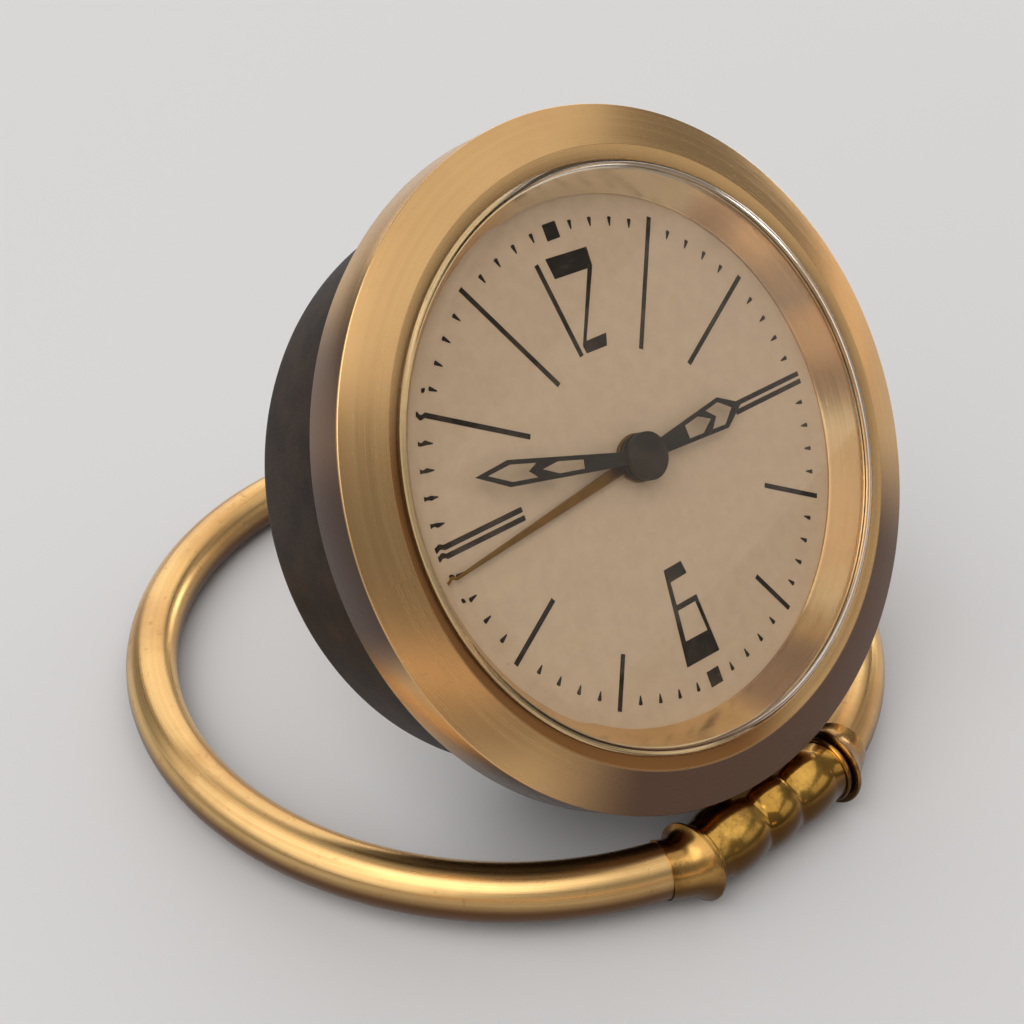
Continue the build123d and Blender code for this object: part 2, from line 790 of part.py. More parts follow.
alarm_turn = 0
with BuildPart() as alarm_wheel:
    extrude(gear(alarm_level, (0, 0), alarm_teeth, motion_module, alarm_turn), amount=wheel_thickness)
    alarm_length = alarm_hand_level + hand_thickness - alarm_level
    extrude(disc(alarm_level, alarm_pipe), amount=alarm_length)
    extrude(disc(alarm_level, hour_pipe + running_fit), amount=alarm_length, mode=Mode.SUBTRACT)
save(alarm_wheel.part, "alarm_wheel")

# Hands
minute_outline = (minute_hand_reach, minute_hand_widest, minute_hand_width, minute_hand_neck)
hour_outline = (hour_hand_reach, hour_hand_widest, hour_hand_width, hour_hand_neck)
alarm_hand_reach = reflector_foot - alarm_hand_gap
for name, depth, turn, bore, outline, inner_window, outer_window in (
    (
        "minute_hand", minute_hand_level, minute_hand_turn, cannon_pipe,
        minute_outline, minute_inner_window, minute_outer_window,
    ),
    (
        "hour_hand", hour_hand_level, hour_hand_turn, hour_pipe,
        hour_outline, hour_inner_window, hour_outer_window,
    ),
):
    with BuildPart() as hand:
        extrude(open_hand(depth, turn, bore, outline, inner_window, outer_window), amount=hand_thickness)
    save(hand.part, name)

with BuildPart() as alarm_hand:
    with BuildSketch(level(alarm_hand_level, turn=alarm_hand_turn)):
        Polygon(
            (0, -alarm_hand_width / 2), (alarm_hand_reach, 0), (0, alarm_hand_width / 2), align=None
        )
        Circle(alarm_pipe + pipe_wall)
        Circle(alarm_pipe, mode=Mode.SUBTRACT)
    extrude(amount=hand_thickness)
save(alarm_hand.part, "alarm_hand")

cap_level = minute_hand_level + hand_thickness
with BuildPart() as hand_cap:
    with BuildSketch(section()):
        with BuildLine():
            TangentArc((0, cap_level + cap_height), (hub_radius, cap_level + cap_height / 3), tangent=(1, 0))
            Polyline(
                (hub_radius, cap_level + cap_height / 3), (hub_radius, cap_level), (0, cap_level),
                (0, cap_level + cap_height),
            )
        make_face()
    revolve(axis=spindle())
save(hand_cap.part, "hand_cap")

# Setting arbors with their knobs
setting_end = key_level - knob_height / 2
hand_setting_turn = meshed(minute_teeth, minute_turn, setting_teeth, minute_direction)
alarm_setting_turn = meshed(alarm_teeth, alarm_turn, setting_teeth, alarm_setting_direction)
for name, spot, depth, turn in (
    ("hand_setting_arbor", hand_setting_spot, cannon_level, hand_setting_turn),
    ("alarm_setting_arbor", alarm_setting_spot, alarm_level, alarm_setting_turn),
):
    with BuildPart() as arbor:
        extrude(gear(depth, spot, setting_teeth, motion_module, turn), amount=wheel_thickness)
        extrude(disc(setting_end, setting_arbor, spot), amount=depth + wheel_thickness - setting_end)
    save(arbor.part, name)

for name, spot in (("hand_setting_knob", hand_setting_spot), ("alarm_setting_knob", alarm_setting_spot)):
    with BuildPart() as knob:
        extrude(disc(key_level, knob_radius, spot), amount=-knob_height)
        rear_rim = knob.edges().filter_by(GeomType.CIRCLE)
        chamfer(rear_rim, slack)
        with BuildSketch(level(key_level, spot)):
            with PolarLocations(knob_radius, knob_grooves):
                Circle(slack)
        extrude(amount=-knob_height, mode=Mode.SUBTRACT)
        extrude(disc(key_level, setting_arbor, spot), amount=setting_end - key_level, mode=Mode.SUBTRACT)
    save(knob.part, name)

# Going train, from the centre wheel to the escape wheel
wheel_turn = 0
with BuildPart() as centre_wheel:
    extrude(gear(centre_level, (0, 0), centre_teeth, centre_module, wheel_turn), amount=wheel_thickness)
    extrude(
        gear(barrel_level - pinion_margin, (0, 0), centre_leaves, barrel_module, wheel_turn),
        amount=barrel_thickness + 2 * pinion_margin,
    )
    extrude(disc(arbor_rear, centre_arbor), amount=plate_front - arbor_rear)
    extrude(disc(plate_front, cannon_bore), amount=minute_hand_level - plate_front)
save(centre_wheel.part, "centre_wheel")

third_turn = meshed(centre_teeth, wheel_turn, third_leaves, third_direction)
fourth_turn = meshed(third_teeth, wheel_turn, fourth_leaves, fourth_direction)
escape_turn = meshed(fourth_teeth, wheel_turn, escape_leaves, escape_direction)
for name, spot, wheel, pinion in (
    (
        "third_wheel",
        third_spot,
        gear(third_level, third_spot, third_teeth, third_module, wheel_turn),
        gear(centre_level - pinion_margin, third_spot, third_leaves, centre_module, third_turn),
    ),
    (
        "fourth_wheel",
        fourth_spot,
        gear(fourth_level, fourth_spot, fourth_teeth, fourth_module, wheel_turn),
        gear(third_level - pinion_margin, fourth_spot, fourth_leaves, third_module, fourth_turn),
    ),
    (
        "escape_wheel",
        escape_spot,
        ratchet(escape_level, escape_spot, escape_teeth, escape_radius, tooth_height),
        gear(fourth_level - pinion_margin, escape_spot, escape_leaves, fourth_module, escape_turn),
    ),
):
    with BuildPart() as train_wheel:
        extrude(wheel, amount=wheel_thickness)
        extrude(pinion, amount=pinion_length)
        extrude(disc(arbor_rear, fine_arbor, spot), amount=arbor_front - arbor_rear)
    save(train_wheel.part, name)

# Pallet fork: two stones beside the escape wheel and a forked tail towards the balance
stone_circle = escape_radius + stone_size / 2 + 2 * slack
with BuildPart() as pallet_fork:
    with BuildSketch(level(escape_level, pallet_spot)):
        Circle(fork_hub)
    extrude(amount=wheel_thickness)
    for stone_angle in (-stone_spread, stone_spread):
        stone_spot = stepped(escape_spot, stone_circle, pallet_direction + stone_angle)
        arm = Vector(stone_spot[0] - pallet_spot[0], stone_spot[1] - pallet_spot[1])
        with BuildSketch(level(escape_level, pallet_spot, degrees(atan2(arm.Y, arm.X)))):
            with Locations((arm.length / 2, 0)):
                SlotOverall(arm.length + stone_size, stone_size)
        extrude(amount=wheel_thickness)
    with BuildSketch(level(escape_level, pallet_spot, balance_direction)):
        tail = balance_distance - 4 * fine_arbor
        Polygon((0, -fork_hub), (tail, -fork_hub / 2), (tail, fork_hub / 2), (0, fork_hub), align=None)
        with Locations((tail, 0)):
            Rectangle(fork_hub, fork_hub / 2, mode=Mode.SUBTRACT)
    extrude(amount=wheel_thickness)
    extrude(disc(arbor_rear, fine_arbor, pallet_spot), amount=arbor_front - arbor_rear)
save(pallet_fork.part, "pallet_fork")

# Balance with its hairspring and the stud that pins the spring's outer end
hairspring_level = balance_level + balance_height + 2 * slack
with BuildPart() as balance_wheel:
    with BuildSketch(level(balance_level, balance_spot)):
        Circle(balance_radius)
        Circle(balance_radius - balance_rim, mode=Mode.SUBTRACT)
        Rectangle(2 * balance_radius - balance_rim, balance_rim)
        Circle(2 * balance_rim)
    extrude(amount=balance_height)
    collet_length = hairspring_level + 3 * slack - balance_level
    extrude(disc(balance_level, collet_radius, balance_spot), amount=collet_length)
    roller_level = escape_level + wheel_thickness + slack
    extrude(disc(roller_level, collet_radius, balance_spot), amount=wheel_thickness)
    extrude(disc(arbor_rear, fine_arbor, balance_spot), amount=arbor_front - arbor_rear)
save(balance_wheel.part, "balance_wheel")

hairspring_inner = collet_radius + hairspring_strip / 2
coil = spiral(
    hairspring_level, balance_spot, hairspring_inner, hairspring_outer, hairspring_turns, hairspring_strip
)
with BuildPart() as hairspring:
    extrude(coil, amount=2 * slack)
save(hairspring.part, "hairspring")

stud_distance = hairspring_outer + hairspring_strip + stud_radius + slack
stud_spot = stepped(balance_spot, stud_distance, balance_direction)
with BuildPart() as hairspring_stud:
    extrude(disc(plate_rear, stud_radius, stud_spot), amount=hairspring_level - plate_rear)
save(hairspring_stud.part, "hairspring_stud")

# Spring barrels: drum with its wheel, wound mainspring and snap-in lid
time_turn = meshed(centre_leaves, wheel_turn, time_barrel_teeth, time_barrel_direction)
for title, spot, teeth, turn in (
    ("time", time_barrel_spot, time_barrel_teeth, time_turn),
    ("alarm", alarm_barrel_spot, alarm_barrel_teeth, wheel_turn),
):
    drum_outer = gear_pitch(teeth, barrel_module) - drum_wall
    drum_inner = drum_outer - drum_wall
    drum_rear = barrel_level - drum_depth
    with BuildPart() as barrel:
        extrude(gear(barrel_level, spot, teeth, barrel_module, turn), amount=barrel_thickness)
        extrude(disc(barrel_level, drum_outer, spot), amount=-drum_depth)
        extrude(disc(barrel_level, drum_inner, spot), amount=-drum_depth, mode=Mode.SUBTRACT)
        bore = disc(drum_rear, winding_arbor + running_fit, spot)
        extrude(bore, amount=drum_depth + barrel_thickness, mode=Mode.SUBTRACT)
    save(barrel.part, f"{title}_barrel")

    with BuildPart() as lid:
        extrude(disc(drum_rear, drum_inner, spot), amount=lid_thickness)
        extrude(bore, amount=lid_thickness, mode=Mode.SUBTRACT)
    save(lid.part, f"{title}_barrel_lid")

    coil_inner = winding_arbor + spring_strip + 2 * slack
    coil_outer = drum_inner - spring_strip / 2 - running_fit
    with BuildPart() as mainspring:
        extrude(
            spiral(drum_rear + lid_thickness, spot, coil_inner, coil_outer, spring_turns, spring_strip),
            amount=drum_depth - lid_thickness - slack,
        )
    save(mainspring.part, f"{title}_mainspring")

    key_end = key_level - key_wing
    with BuildPart() as winding:
        extrude(disc(key_end, winding_arbor, spot), amount=arbor_front - key_end)
    save(winding.part, f"{title}_winding_arbor")

    ratchet_level = bridge_rear - slack - ratchet_thickness
    toothed = ratchet(ratchet_level, spot, ratchet_teeth, ratchet_radius, tooth_height / 2)
    with BuildPart() as ratchet_wheel:
        extrude(toothed, amount=ratchet_thickness)
        extrude(disc(ratchet_level, winding_arbor, spot), amount=ratchet_thickness, mode=Mode.SUBTRACT)
    save(ratchet_wheel.part, f"{title}_ratchet")

    with BuildPart() as key:
        with BuildSketch(section(spot)):
            with Locations((0, key_level - key_wing / 2)):
                Rectangle(key_span - key_wing, key_waist)
                with GridLocations(key_span - key_wing, 1, 2, 1):
                    Circle(key_wing / 2)
        extrude(amount=key_thickness / 2, both=True)
        extrude(disc(key_level, key_hub, spot), amount=-key_wing)
        extrude(disc(key_level, winding_arbor, spot), amount=-key_wing, mode=Mode.SUBTRACT)
    save(key.part, f"{title}_key")

# Alarm striker wheel and hammer
striker_turn = meshed(alarm_barrel_teeth, wheel_turn, striker_leaves, striker_direction)
with BuildPart() as striker_wheel:
    extrude(
        ratchet(centre_level, striker_spot, striker_teeth, striker_radius, tooth_height),
        amount=wheel_thickness,
    )
    extrude(
        gear(barrel_level - pinion_margin, striker_spot, striker_leaves, barrel_module, striker_turn),
        amount=barrel_thickness + 2 * pinion_margin,
    )
    extrude(disc(arbor_rear, fine_arbor, striker_spot), amount=arbor_front - arbor_rear)
save(striker_wheel.part, "striker_wheel")

striker_arm = Vector(striker_spot[0] - hammer_spot[0], striker_spot[1] - hammer_spot[1])
catch_reach = striker_arm.length - striker_radius - 2 * slack
with BuildPart() as hammer:
    with BuildSketch(level(centre_level, hammer_spot)):
        Circle(fork_hub)
    extrude(amount=wheel_thickness)
    with BuildSketch(level(centre_level, hammer_spot, hammer_direction)):
        with Locations((hammer_reach / 2, 0)):
            Rectangle(hammer_reach, fork_hub)
    extrude(amount=wheel_thickness)
    with BuildSketch(level(centre_level, hammer_spot, degrees(atan2(striker_arm.Y, striker_arm.X)))):
        with Locations((catch_reach / 2, 0)):
            Rectangle(catch_reach, stone_size)
    extrude(amount=wheel_thickness)
    head_spot = stepped(hammer_spot, hammer_reach, hammer_direction)
    extrude(disc(centre_level - slack, hammer_radius, head_spot), amount=wheel_thickness + 5 * slack)
    extrude(disc(arbor_rear, fine_arbor, hammer_spot), amount=arbor_front - arbor_rear)
save(hammer.part, "hammer")

# Alarm stop button, held behind the cover by its flange
button_end = key_level - button_stroke
with BuildPart() as stop_button:
    extrude(disc(button_end, button_radius, stop_spot), amount=bridge_front - button_end)
    extrude(disc(cover_front + slack / 2, button_radius + 4 * slack, stop_spot), amount=4 * slack)
    fillet(stop_button.edges().group_by(Axis(head.origin, front))[0], 2 * slack)
save(stop_button.part, "stop_button")
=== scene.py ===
"""Dresses a small round alarm clock that leans back on a hinged ring stand.

Every sub-assembly is a class with its sizes in millimetres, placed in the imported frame, which is in metres.
"""

from __future__ import annotations

import json
import logging
import math
from dataclasses import dataclass, field
from enum import Enum
from typing import Iterable, Sequence

import bmesh
import bpy
from mathutils import Matrix, Vector

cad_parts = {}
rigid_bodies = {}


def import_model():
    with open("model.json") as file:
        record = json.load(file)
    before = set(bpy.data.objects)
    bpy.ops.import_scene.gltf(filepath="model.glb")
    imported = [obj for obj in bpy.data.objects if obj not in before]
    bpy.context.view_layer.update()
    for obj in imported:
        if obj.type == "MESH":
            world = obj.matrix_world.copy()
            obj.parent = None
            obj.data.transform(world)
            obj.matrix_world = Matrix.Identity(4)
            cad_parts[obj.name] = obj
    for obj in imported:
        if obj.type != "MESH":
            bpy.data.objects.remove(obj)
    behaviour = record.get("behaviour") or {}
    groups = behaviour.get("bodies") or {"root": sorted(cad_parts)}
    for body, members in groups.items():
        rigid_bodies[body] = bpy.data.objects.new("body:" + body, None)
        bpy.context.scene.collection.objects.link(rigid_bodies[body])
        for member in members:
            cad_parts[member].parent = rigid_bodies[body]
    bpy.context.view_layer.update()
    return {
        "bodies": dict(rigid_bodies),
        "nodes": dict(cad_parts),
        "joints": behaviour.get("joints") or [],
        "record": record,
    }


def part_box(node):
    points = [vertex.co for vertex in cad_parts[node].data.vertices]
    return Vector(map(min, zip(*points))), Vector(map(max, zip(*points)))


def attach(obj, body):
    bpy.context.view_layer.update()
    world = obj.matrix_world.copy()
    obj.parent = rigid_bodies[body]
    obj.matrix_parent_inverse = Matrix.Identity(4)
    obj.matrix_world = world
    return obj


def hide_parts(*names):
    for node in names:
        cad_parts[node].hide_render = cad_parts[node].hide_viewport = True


LOG = logging.getLogger("clock")
MM = 0.001
NOISE_MIDDLE = (0.3, 0.7)
FILLET_SHARE = 0.95
ON_AXIS = 1e-6
WELD = 1e-5

Colour = tuple[float, float, float]
Point = tuple[float, float]
Corner = tuple[float, float, float]


class Grain(Enum):
    """How a metal was finished."""

    TURNED = "turned"
    DRAWN = "drawn"
    POLISHED = "polished"
    SATIN = "satin"


@dataclass(frozen=True)
class Place:
    """Local frame of a sub-assembly: its axis is the local z."""

    origin: Vector
    across: Vector
    axis: Vector

    def matrix(self) -> Matrix:
        """Matrix from local millimetres to the row frame in metres.

        Returns:
            The matrix.
        """
        along = self.axis.cross(self.across)
        turn = Matrix((self.across, along, self.axis)).transposed().to_4x4()
        return Matrix.Translation(self.origin) @ turn @ Matrix.Scale(MM, 4)

    def shifted(self, x: float, y: float, z: float = 0.0) -> Place:
        """The same frame moved by local millimetres.

        Args:
            x: Distance across.
            y: Distance along.
            z: Distance on the axis.

        Returns:
            The moved frame.
        """
        return Place(self.matrix() @ Vector((x, y, z)), self.across, self.axis)


@dataclass(frozen=True)
class Layout:
    """Frames of the clock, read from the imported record's joints."""

    head: Place
    hinge: Place
    ring: Place
    owners: dict[str, str]

    @staticmethod
    def read(frame: dict) -> Layout:
        """Works out the frames.


        Returns:
            The layout.
        """
        joints = {joint["name"]: joint for joint in frame["joints"]}
        right = Vector((1.0, 0.0, 0.0))
        hinge_at = Vector(joints["case_tilt"]["pos_m"])
        dial = joints["minute_turn"]
        front = Vector(dial["axis"]).normalized()
        low, high = (Vector(corner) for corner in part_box("stand_ring"))
        tube_top = high.y - StandRing.tube_radius * MM
        rear = Vector((0.0, tube_top, low.z + StandRing.tube_radius * MM))
        reach = (rear - hinge_at).normalized()
        ring_axis = right.cross(reach)
        centre = hinge_at + reach * StandRing().reach * MM
        owners = {
            node: body
            for body, nodes in frame["record"]["behaviour"]["bodies"].items()
            for node in nodes
        }
        return Layout(
            head=Place(Vector(dial["pos_m"]), right, front),
            hinge=Place(hinge_at, front.cross(right), right),
            ring=Place(centre, right, ring_axis),
            owners=owners,
        )


def filleted(corners: Sequence[Corner], steps: int = 5) -> list[Point]:
    """Rounds the corners of a closed outline.

    Args:
        corners: Points of the outline, each with its fillet radius.
        steps: Spans in each rounded corner.

    Returns:
        The outline's points.
    """
    points: list[Point] = []
    count = len(corners)
    for index, (x, y, radius) in enumerate(corners):
        here = Vector((x, y))
        back = Vector(corners[index - 1][:2]) - here
        ahead = Vector(corners[(index + 1) % count][:2]) - here
        if radius <= 0:
            points.append((x, y))
            continue
        half = back.angle(ahead) / 2
        reach = min(radius / math.tan(half), FILLET_SHARE * back.length, FILLET_SHARE * ahead.length)
        middle = (back.normalized() + ahead.normalized()).normalized()
        centre = here + middle * reach / math.cos(half)
        spoke = here + back.normalized() * reach - centre
        sweep = math.copysign(math.pi - 2 * half, back.x * ahead.y - back.y * ahead.x)
        for step in range(steps + 1):
            spot = centre + Matrix.Rotation(-sweep * step / steps, 2) @ spoke
            points.append((spot.x, spot.y))
    return points


def arc(centre: Point, radius: float, start: float, end: float, steps: int) -> list[Point]:
    """Points of a circle's arc.

    Args:
        centre: The circle's centre.
        radius: Its radius.
        start: First angle in degrees.
        end: Last angle in degrees.
        steps: Spans between them.

    Returns:
        The arc's points, both ends included.
    """
    angles = [math.radians(start + (end - start) * step / steps) for step in range(steps + 1)]
    return [(centre[0] + radius * math.cos(a), centre[1] + radius * math.sin(a)) for a in angles]


def circle(centre: Point, radius: float, steps: int = 36) -> list[Point]:
    """Points of a whole circle."""
    return arc(centre, radius, 0.0, 360.0 - 360.0 / steps, steps - 1)


def direction(azimuth: float, elevation: float) -> Vector:
    """Unit vector from the clock: degrees round from its front and above the horizon."""
    turn, lift = math.radians(azimuth), math.radians(elevation)
    return Vector((math.sin(turn) * math.cos(lift), -math.cos(turn) * math.cos(lift), math.sin(lift)))


def dome(rise: float, rim: Point, steps: int) -> list[Point]:
    """Points of a flat dome from its rim to its top on the axis.

    Args:
        rise: Height of the top.
        rim: Radius and height of the rim.
        steps: Spans of the arc.

    Returns:
        Profile points from the rim to the axis.
    """
    sag = rise - rim[1]
    radius = (rim[0] ** 2 + sag**2) / (2 * sag)
    edge = math.asin(rim[0] / radius)
    angles = [edge * (1 - step / steps) for step in range(steps + 1)]
    return [(radius * math.sin(a), rise - radius + radius * math.cos(a)) for a in angles]


class MeshShop:
    """Makes plain meshes in local millimetres."""

    @staticmethod
    def lathe(profile: Sequence[Point], segments: int = 192) -> bmesh.types.BMesh:
        """Turns a closed profile about the local z axis.

        Args:
            profile: Radius and height of each point, in order.
            segments: Steps round the axis.

        Returns:
            The turned mesh.
        """
        shape = bmesh.new()
        rings = []
        for radius, height in profile:
            if radius < ON_AXIS:
                rings.append([shape.verts.new((0.0, 0.0, height))] * segments)
                continue
            ring = []
            for step in range(segments):
                angle = math.tau * step / segments
                ring.append(shape.verts.new((radius * math.cos(angle), radius * math.sin(angle), height)))
            rings.append(ring)
        for index, ring in enumerate(rings):
            following = rings[(index + 1) % len(rings)]
            for step in range(segments):
                after = (step + 1) % segments
                loop = [ring[step], following[step], following[after], ring[after]]
                unique = list(dict.fromkeys(loop))
                if len(unique) > 2:
                    shape.faces.new(unique)
        MeshShop.clean(shape)
        return shape

    @staticmethod
    def skin(circles: Sequence[tuple[Vector, Vector, float]], sides: int = 96) -> bmesh.types.BMesh:
        """Joins circles one to the next, and the last to the first.

        Args:
            circles: Centre, direction and radius of each circle; the directions lie across the local z axis.
            sides: Steps round each circle.

        Returns:
            The closed mesh.
        """
        shape = bmesh.new()
        rows = []
        upright = Vector((0.0, 0.0, 1.0))
        for centre, along, radius in circles:
            across = along.cross(upright).normalized()
            angles = [math.tau * step / sides for step in range(sides)]
            spokes = (across * math.cos(angle) + upright * math.sin(angle) for angle in angles)
            rows.append([shape.verts.new(centre + spoke * radius) for spoke in spokes])
        for index, row in enumerate(rows):
            following = rows[(index + 1) % len(rows)]
            for step in range(sides):
                after = (step + 1) % sides
                shape.faces.new((row[step], following[step], following[after], row[after]))
        MeshShop.clean(shape)
        return shape

    @staticmethod
    def plate(
        loops: Sequence[Sequence[Point]], low: float, high: float, bevel: float = 0.0
    ) -> bmesh.types.BMesh:
        """Fills an outline with holes and gives it a thickness.

        Args:
            loops: The outer outline, then its holes.
            low: Height of the underside.
            high: Height of the top.
            bevel: Width of the rounded edge.

        Returns:
            The closed plate.
        """
        curve = bpy.data.curves.new("outline", "CURVE")
        curve.dimensions = "2D"
        curve.fill_mode = "BOTH"
        curve.extrude = (high - low) / 2 - bevel
        curve.bevel_depth = bevel
        curve.bevel_resolution = 2
        curve.offset = -bevel
        for loop in loops:
            spline = curve.splines.new("POLY")
            spline.points.add(len(loop) - 1)
            for point, (x, y) in zip(spline.points, loop):
                point.co = (x, y, 0.0, 1.0)
            spline.use_cyclic_u = True
        holder = bpy.data.objects.new("outline", curve)
        bpy.context.scene.collection.objects.link(holder)
        mesh = bpy.data.meshes.new_from_object(holder.evaluated_get(bpy.context.evaluated_depsgraph_get()))
        shape = bmesh.new()
        shape.from_mesh(mesh)
        bpy.data.objects.remove(holder)
        bpy.data.curves.remove(curve)
        bpy.data.meshes.remove(mesh)
        bmesh.ops.translate(shape, verts=shape.verts, vec=(0.0, 0.0, (low + high) / 2))
        MeshShop.clean(shape)
        return shape

    @staticmethod
    def joined(shapes: Iterable[bmesh.types.BMesh]) -> bmesh.types.BMesh:
        """Puts several meshes into one.

        Args:
            shapes: The meshes, which are freed.

        Returns:
            One mesh that holds them all.
        """
        whole = bmesh.new()
        for shape in shapes:
            part = bpy.data.meshes.new("part")
            shape.to_mesh(part)
            whole.from_mesh(part)
            shape.free()
            bpy.data.meshes.remove(part)
        return whole

    @staticmethod
    def turn(shape: bmesh.types.BMesh, degrees: float) -> None:
        """Turns a mesh about the local z axis."""
        spin = Matrix.Rotation(math.radians(degrees), 4, "Z")
        bmesh.ops.transform(shape, matrix=spin, verts=shape.verts)

    @staticmethod
    def clean(shape: bmesh.types.BMesh) -> None:
        """Merges doubled points and turns the faces outwards."""
        bmesh.ops.remove_doubles(shape, verts=shape.verts, dist=WELD)
        bmesh.ops.recalc_face_normals(shape, faces=shape.faces)


class NodeBench:
    """Adds and links nodes in one tree."""

    def __init__(self, tree: bpy.types.NodeTree) -> None:
        """Keeps the tree."""
        self.tree = tree

    def add(self, kind: str, inputs: dict | None = None, **settings: object) -> bpy.types.Node:
        """Adds a node.

        Args:
            kind: The node's type name.
            inputs: Values or sockets for its inputs, by name or by index.
            settings: Attributes of the node.

        Returns:
            The node.
        """
        node = self.tree.nodes.new(kind)
        for name, value in settings.items():
            setattr(node, name, value)
        for name, value in (inputs or {}).items():
            if isinstance(value, bpy.types.NodeSocket):
                self.tree.links.new(value, node.inputs[name])
            else:
                node.inputs[name].default_value = value
        return node

    def math(self, operation: str, *values: object) -> bpy.types.NodeSocket:
        """Adds a Math node and returns its result."""
        return self.add("ShaderNodeMath", dict(enumerate(values)), operation=operation).outputs[0]

    def ramp(
        self, value: object, low: float, high: float, to_low: float, to_high: float
    ) -> bpy.types.NodeSocket:
        """Maps a value smoothly from one range to another.

        Args:
            value: Socket to map.
            low: Start of its range.
            high: End of its range.
            to_low: Result at the start.
            to_high: Result at the end.

        Returns:
            The mapped socket.
        """
        inputs = {"Value": value, "From Min": low, "From Max": high, "To Min": to_low, "To Max": to_high}
        return self.add("ShaderNodeMapRange", inputs, interpolation_type="SMOOTHSTEP").outputs["Result"]

    def mix(self, factor: object, first: object, second: object) -> bpy.types.NodeSocket:
        """Mixes two colours.

        Args:
            factor: Share of the second.
            first: Colour or socket.
            second: Colour or socket.

        Returns:
            The mixed colour.
        """
        node = self.add("ShaderNodeMix", {0: factor}, data_type="RGBA")
        for index, value in ((6, first), (7, second)):
            if isinstance(value, bpy.types.NodeSocket):
                self.tree.links.new(value, node.inputs[index])
            else:
                node.inputs[index].default_value = (*value, 1.0)
        return node.outputs[2]

    def noise(
        self, vector: object, scale: object, detail: float = 3.0, roughness: float = 0.5
    ) -> bpy.types.NodeSocket:
        """Adds a noise texture.

        Args:
            vector: Where to read it.
            scale: Its scale.
            detail: Octaves.
            roughness: Weight of the fine octaves.

        Returns:
            The noise value.
        """
        inputs = {"Vector": vector, "Scale": scale, "Detail": detail, "Roughness": roughness}
        return self.add("ShaderNodeTexNoise", inputs).outputs[0]


class Effects:
    """Shader node groups that several finishes share."""

    _made: dict[str, bpy.types.NodeTree] = {}

    @classmethod
    def _group(cls, name: str, inputs: dict[str, object], outputs: Sequence[str]) -> tuple:
        """Starts a group.

        Args:
            name: The group's name.
            inputs: Default of each input, by name; None makes a vector.
            outputs: Names of the value outputs.

        Returns:
            The tree, its bench, the input node and the output node.
        """
        tree = bpy.data.node_groups.new(name, "ShaderNodeTree")
        for title, value in inputs.items():
            kind = "NodeSocketVector" if value is None else "NodeSocketFloat"
            socket = tree.interface.new_socket(name=title, in_out="INPUT", socket_type=kind)
            if value is not None:
                socket.default_value = value
        for title in outputs:
            tree.interface.new_socket(name=title, in_out="OUTPUT", socket_type="NodeSocketFloat")
        cls._made[name] = tree
        bench = NodeBench(tree)
        return tree, bench, bench.add("NodeGroupInput"), bench.add("NodeGroupOutput")

    @classmethod
    def turned_lines(cls) -> bpy.types.NodeTree:
        """Fine lines left by a lathe: they run round the local z axis.

        Returns:
            The node group, made once.
        """
        if "turned_lines" in cls._made:
            return cls._made["turned_lines"]
        inputs = {"Vector": None, "Pitch": 6.0, "Break": 0.15}
        tree, bench, start, end = cls._group("turned_lines", inputs, ("Height", "Tone"))
        axes = bench.add("ShaderNodeSeparateXYZ", {0: start.outputs["Vector"]})
        flat = bench.add("ShaderNodeCombineXYZ", {0: axes.outputs[0], 1: axes.outputs[1]})
        radius = bench.add("ShaderNodeVectorMath", {0: flat.outputs[0]}, operation="LENGTH").outputs["Value"]
        swing = bench.math("ARCTAN2", axes.outputs[1], axes.outputs[0])
        around = bench.math("MULTIPLY", swing, start.outputs["Break"])
        line = bench.add("ShaderNodeCombineXYZ", {0: radius, 1: axes.outputs[2], 2: around}).outputs[0]
        fine = bench.noise(line, start.outputs["Pitch"], 4.0, 0.75)
        broad = bench.noise(line, bench.math("MULTIPLY", start.outputs["Pitch"], 0.22), 2.0)
        tree.links.new(fine, end.inputs["Height"])
        tone = bench.math("ADD", bench.math("MULTIPLY", fine, 0.55), bench.math("MULTIPLY", broad, 0.45))
        tree.links.new(tone, end.inputs["Tone"])
        return tree

    @classmethod
    def tarnish(cls) -> bpy.types.NodeTree:
        """Clouds and specks of tarnish as one mask.

        Returns:
            The node group, made once.
        """
        if "tarnish" in cls._made:
            return cls._made["tarnish"]
        inputs = {"Vector": None, "Scale": 0.12, "Amount": 0.4, "Specks": 0.3}
        tree, bench, start, end = cls._group("tarnish", inputs, ("Mask",))
        place = start.outputs["Vector"]
        cloud = bench.noise(place, start.outputs["Scale"], 5.0, 0.62)
        cloud = bench.ramp(cloud, 0.42, 0.72, 0.0, 1.0)
        speck = bench.noise(place, bench.math("MULTIPLY", start.outputs["Scale"], 14.0), 2.0, 0.6)
        speck = bench.ramp(speck, 0.62, 0.72, 0.0, 1.0)
        both = bench.math("ADD", bench.math("MULTIPLY", cloud, start.outputs["Amount"]),
                          bench.math("MULTIPLY", speck, start.outputs["Specks"]))
        tree.links.new(bench.math("MINIMUM", both, 1.0), end.inputs["Mask"])
        return tree

    @classmethod
    def fine_grain(cls) -> bpy.types.NodeTree:
        """Even fine grain, as on a lacquered or blasted face.

        Returns:
            The node group, made once.
        """
        if "fine_grain" in cls._made:
            return cls._made["fine_grain"]
        tree, bench, start, end = cls._group("fine_grain", {"Vector": None, "Scale": 8.0}, ("Height", "Tone"))
        height = bench.noise(start.outputs["Vector"], start.outputs["Scale"], 3.0, 0.6)
        broad = bench.math("MULTIPLY", start.outputs["Scale"], 0.06)
        tone = bench.noise(start.outputs["Vector"], broad, 3.0, 0.6)
        tree.links.new(height, end.inputs["Height"])
        tree.links.new(tone, end.inputs["Tone"])
        return tree


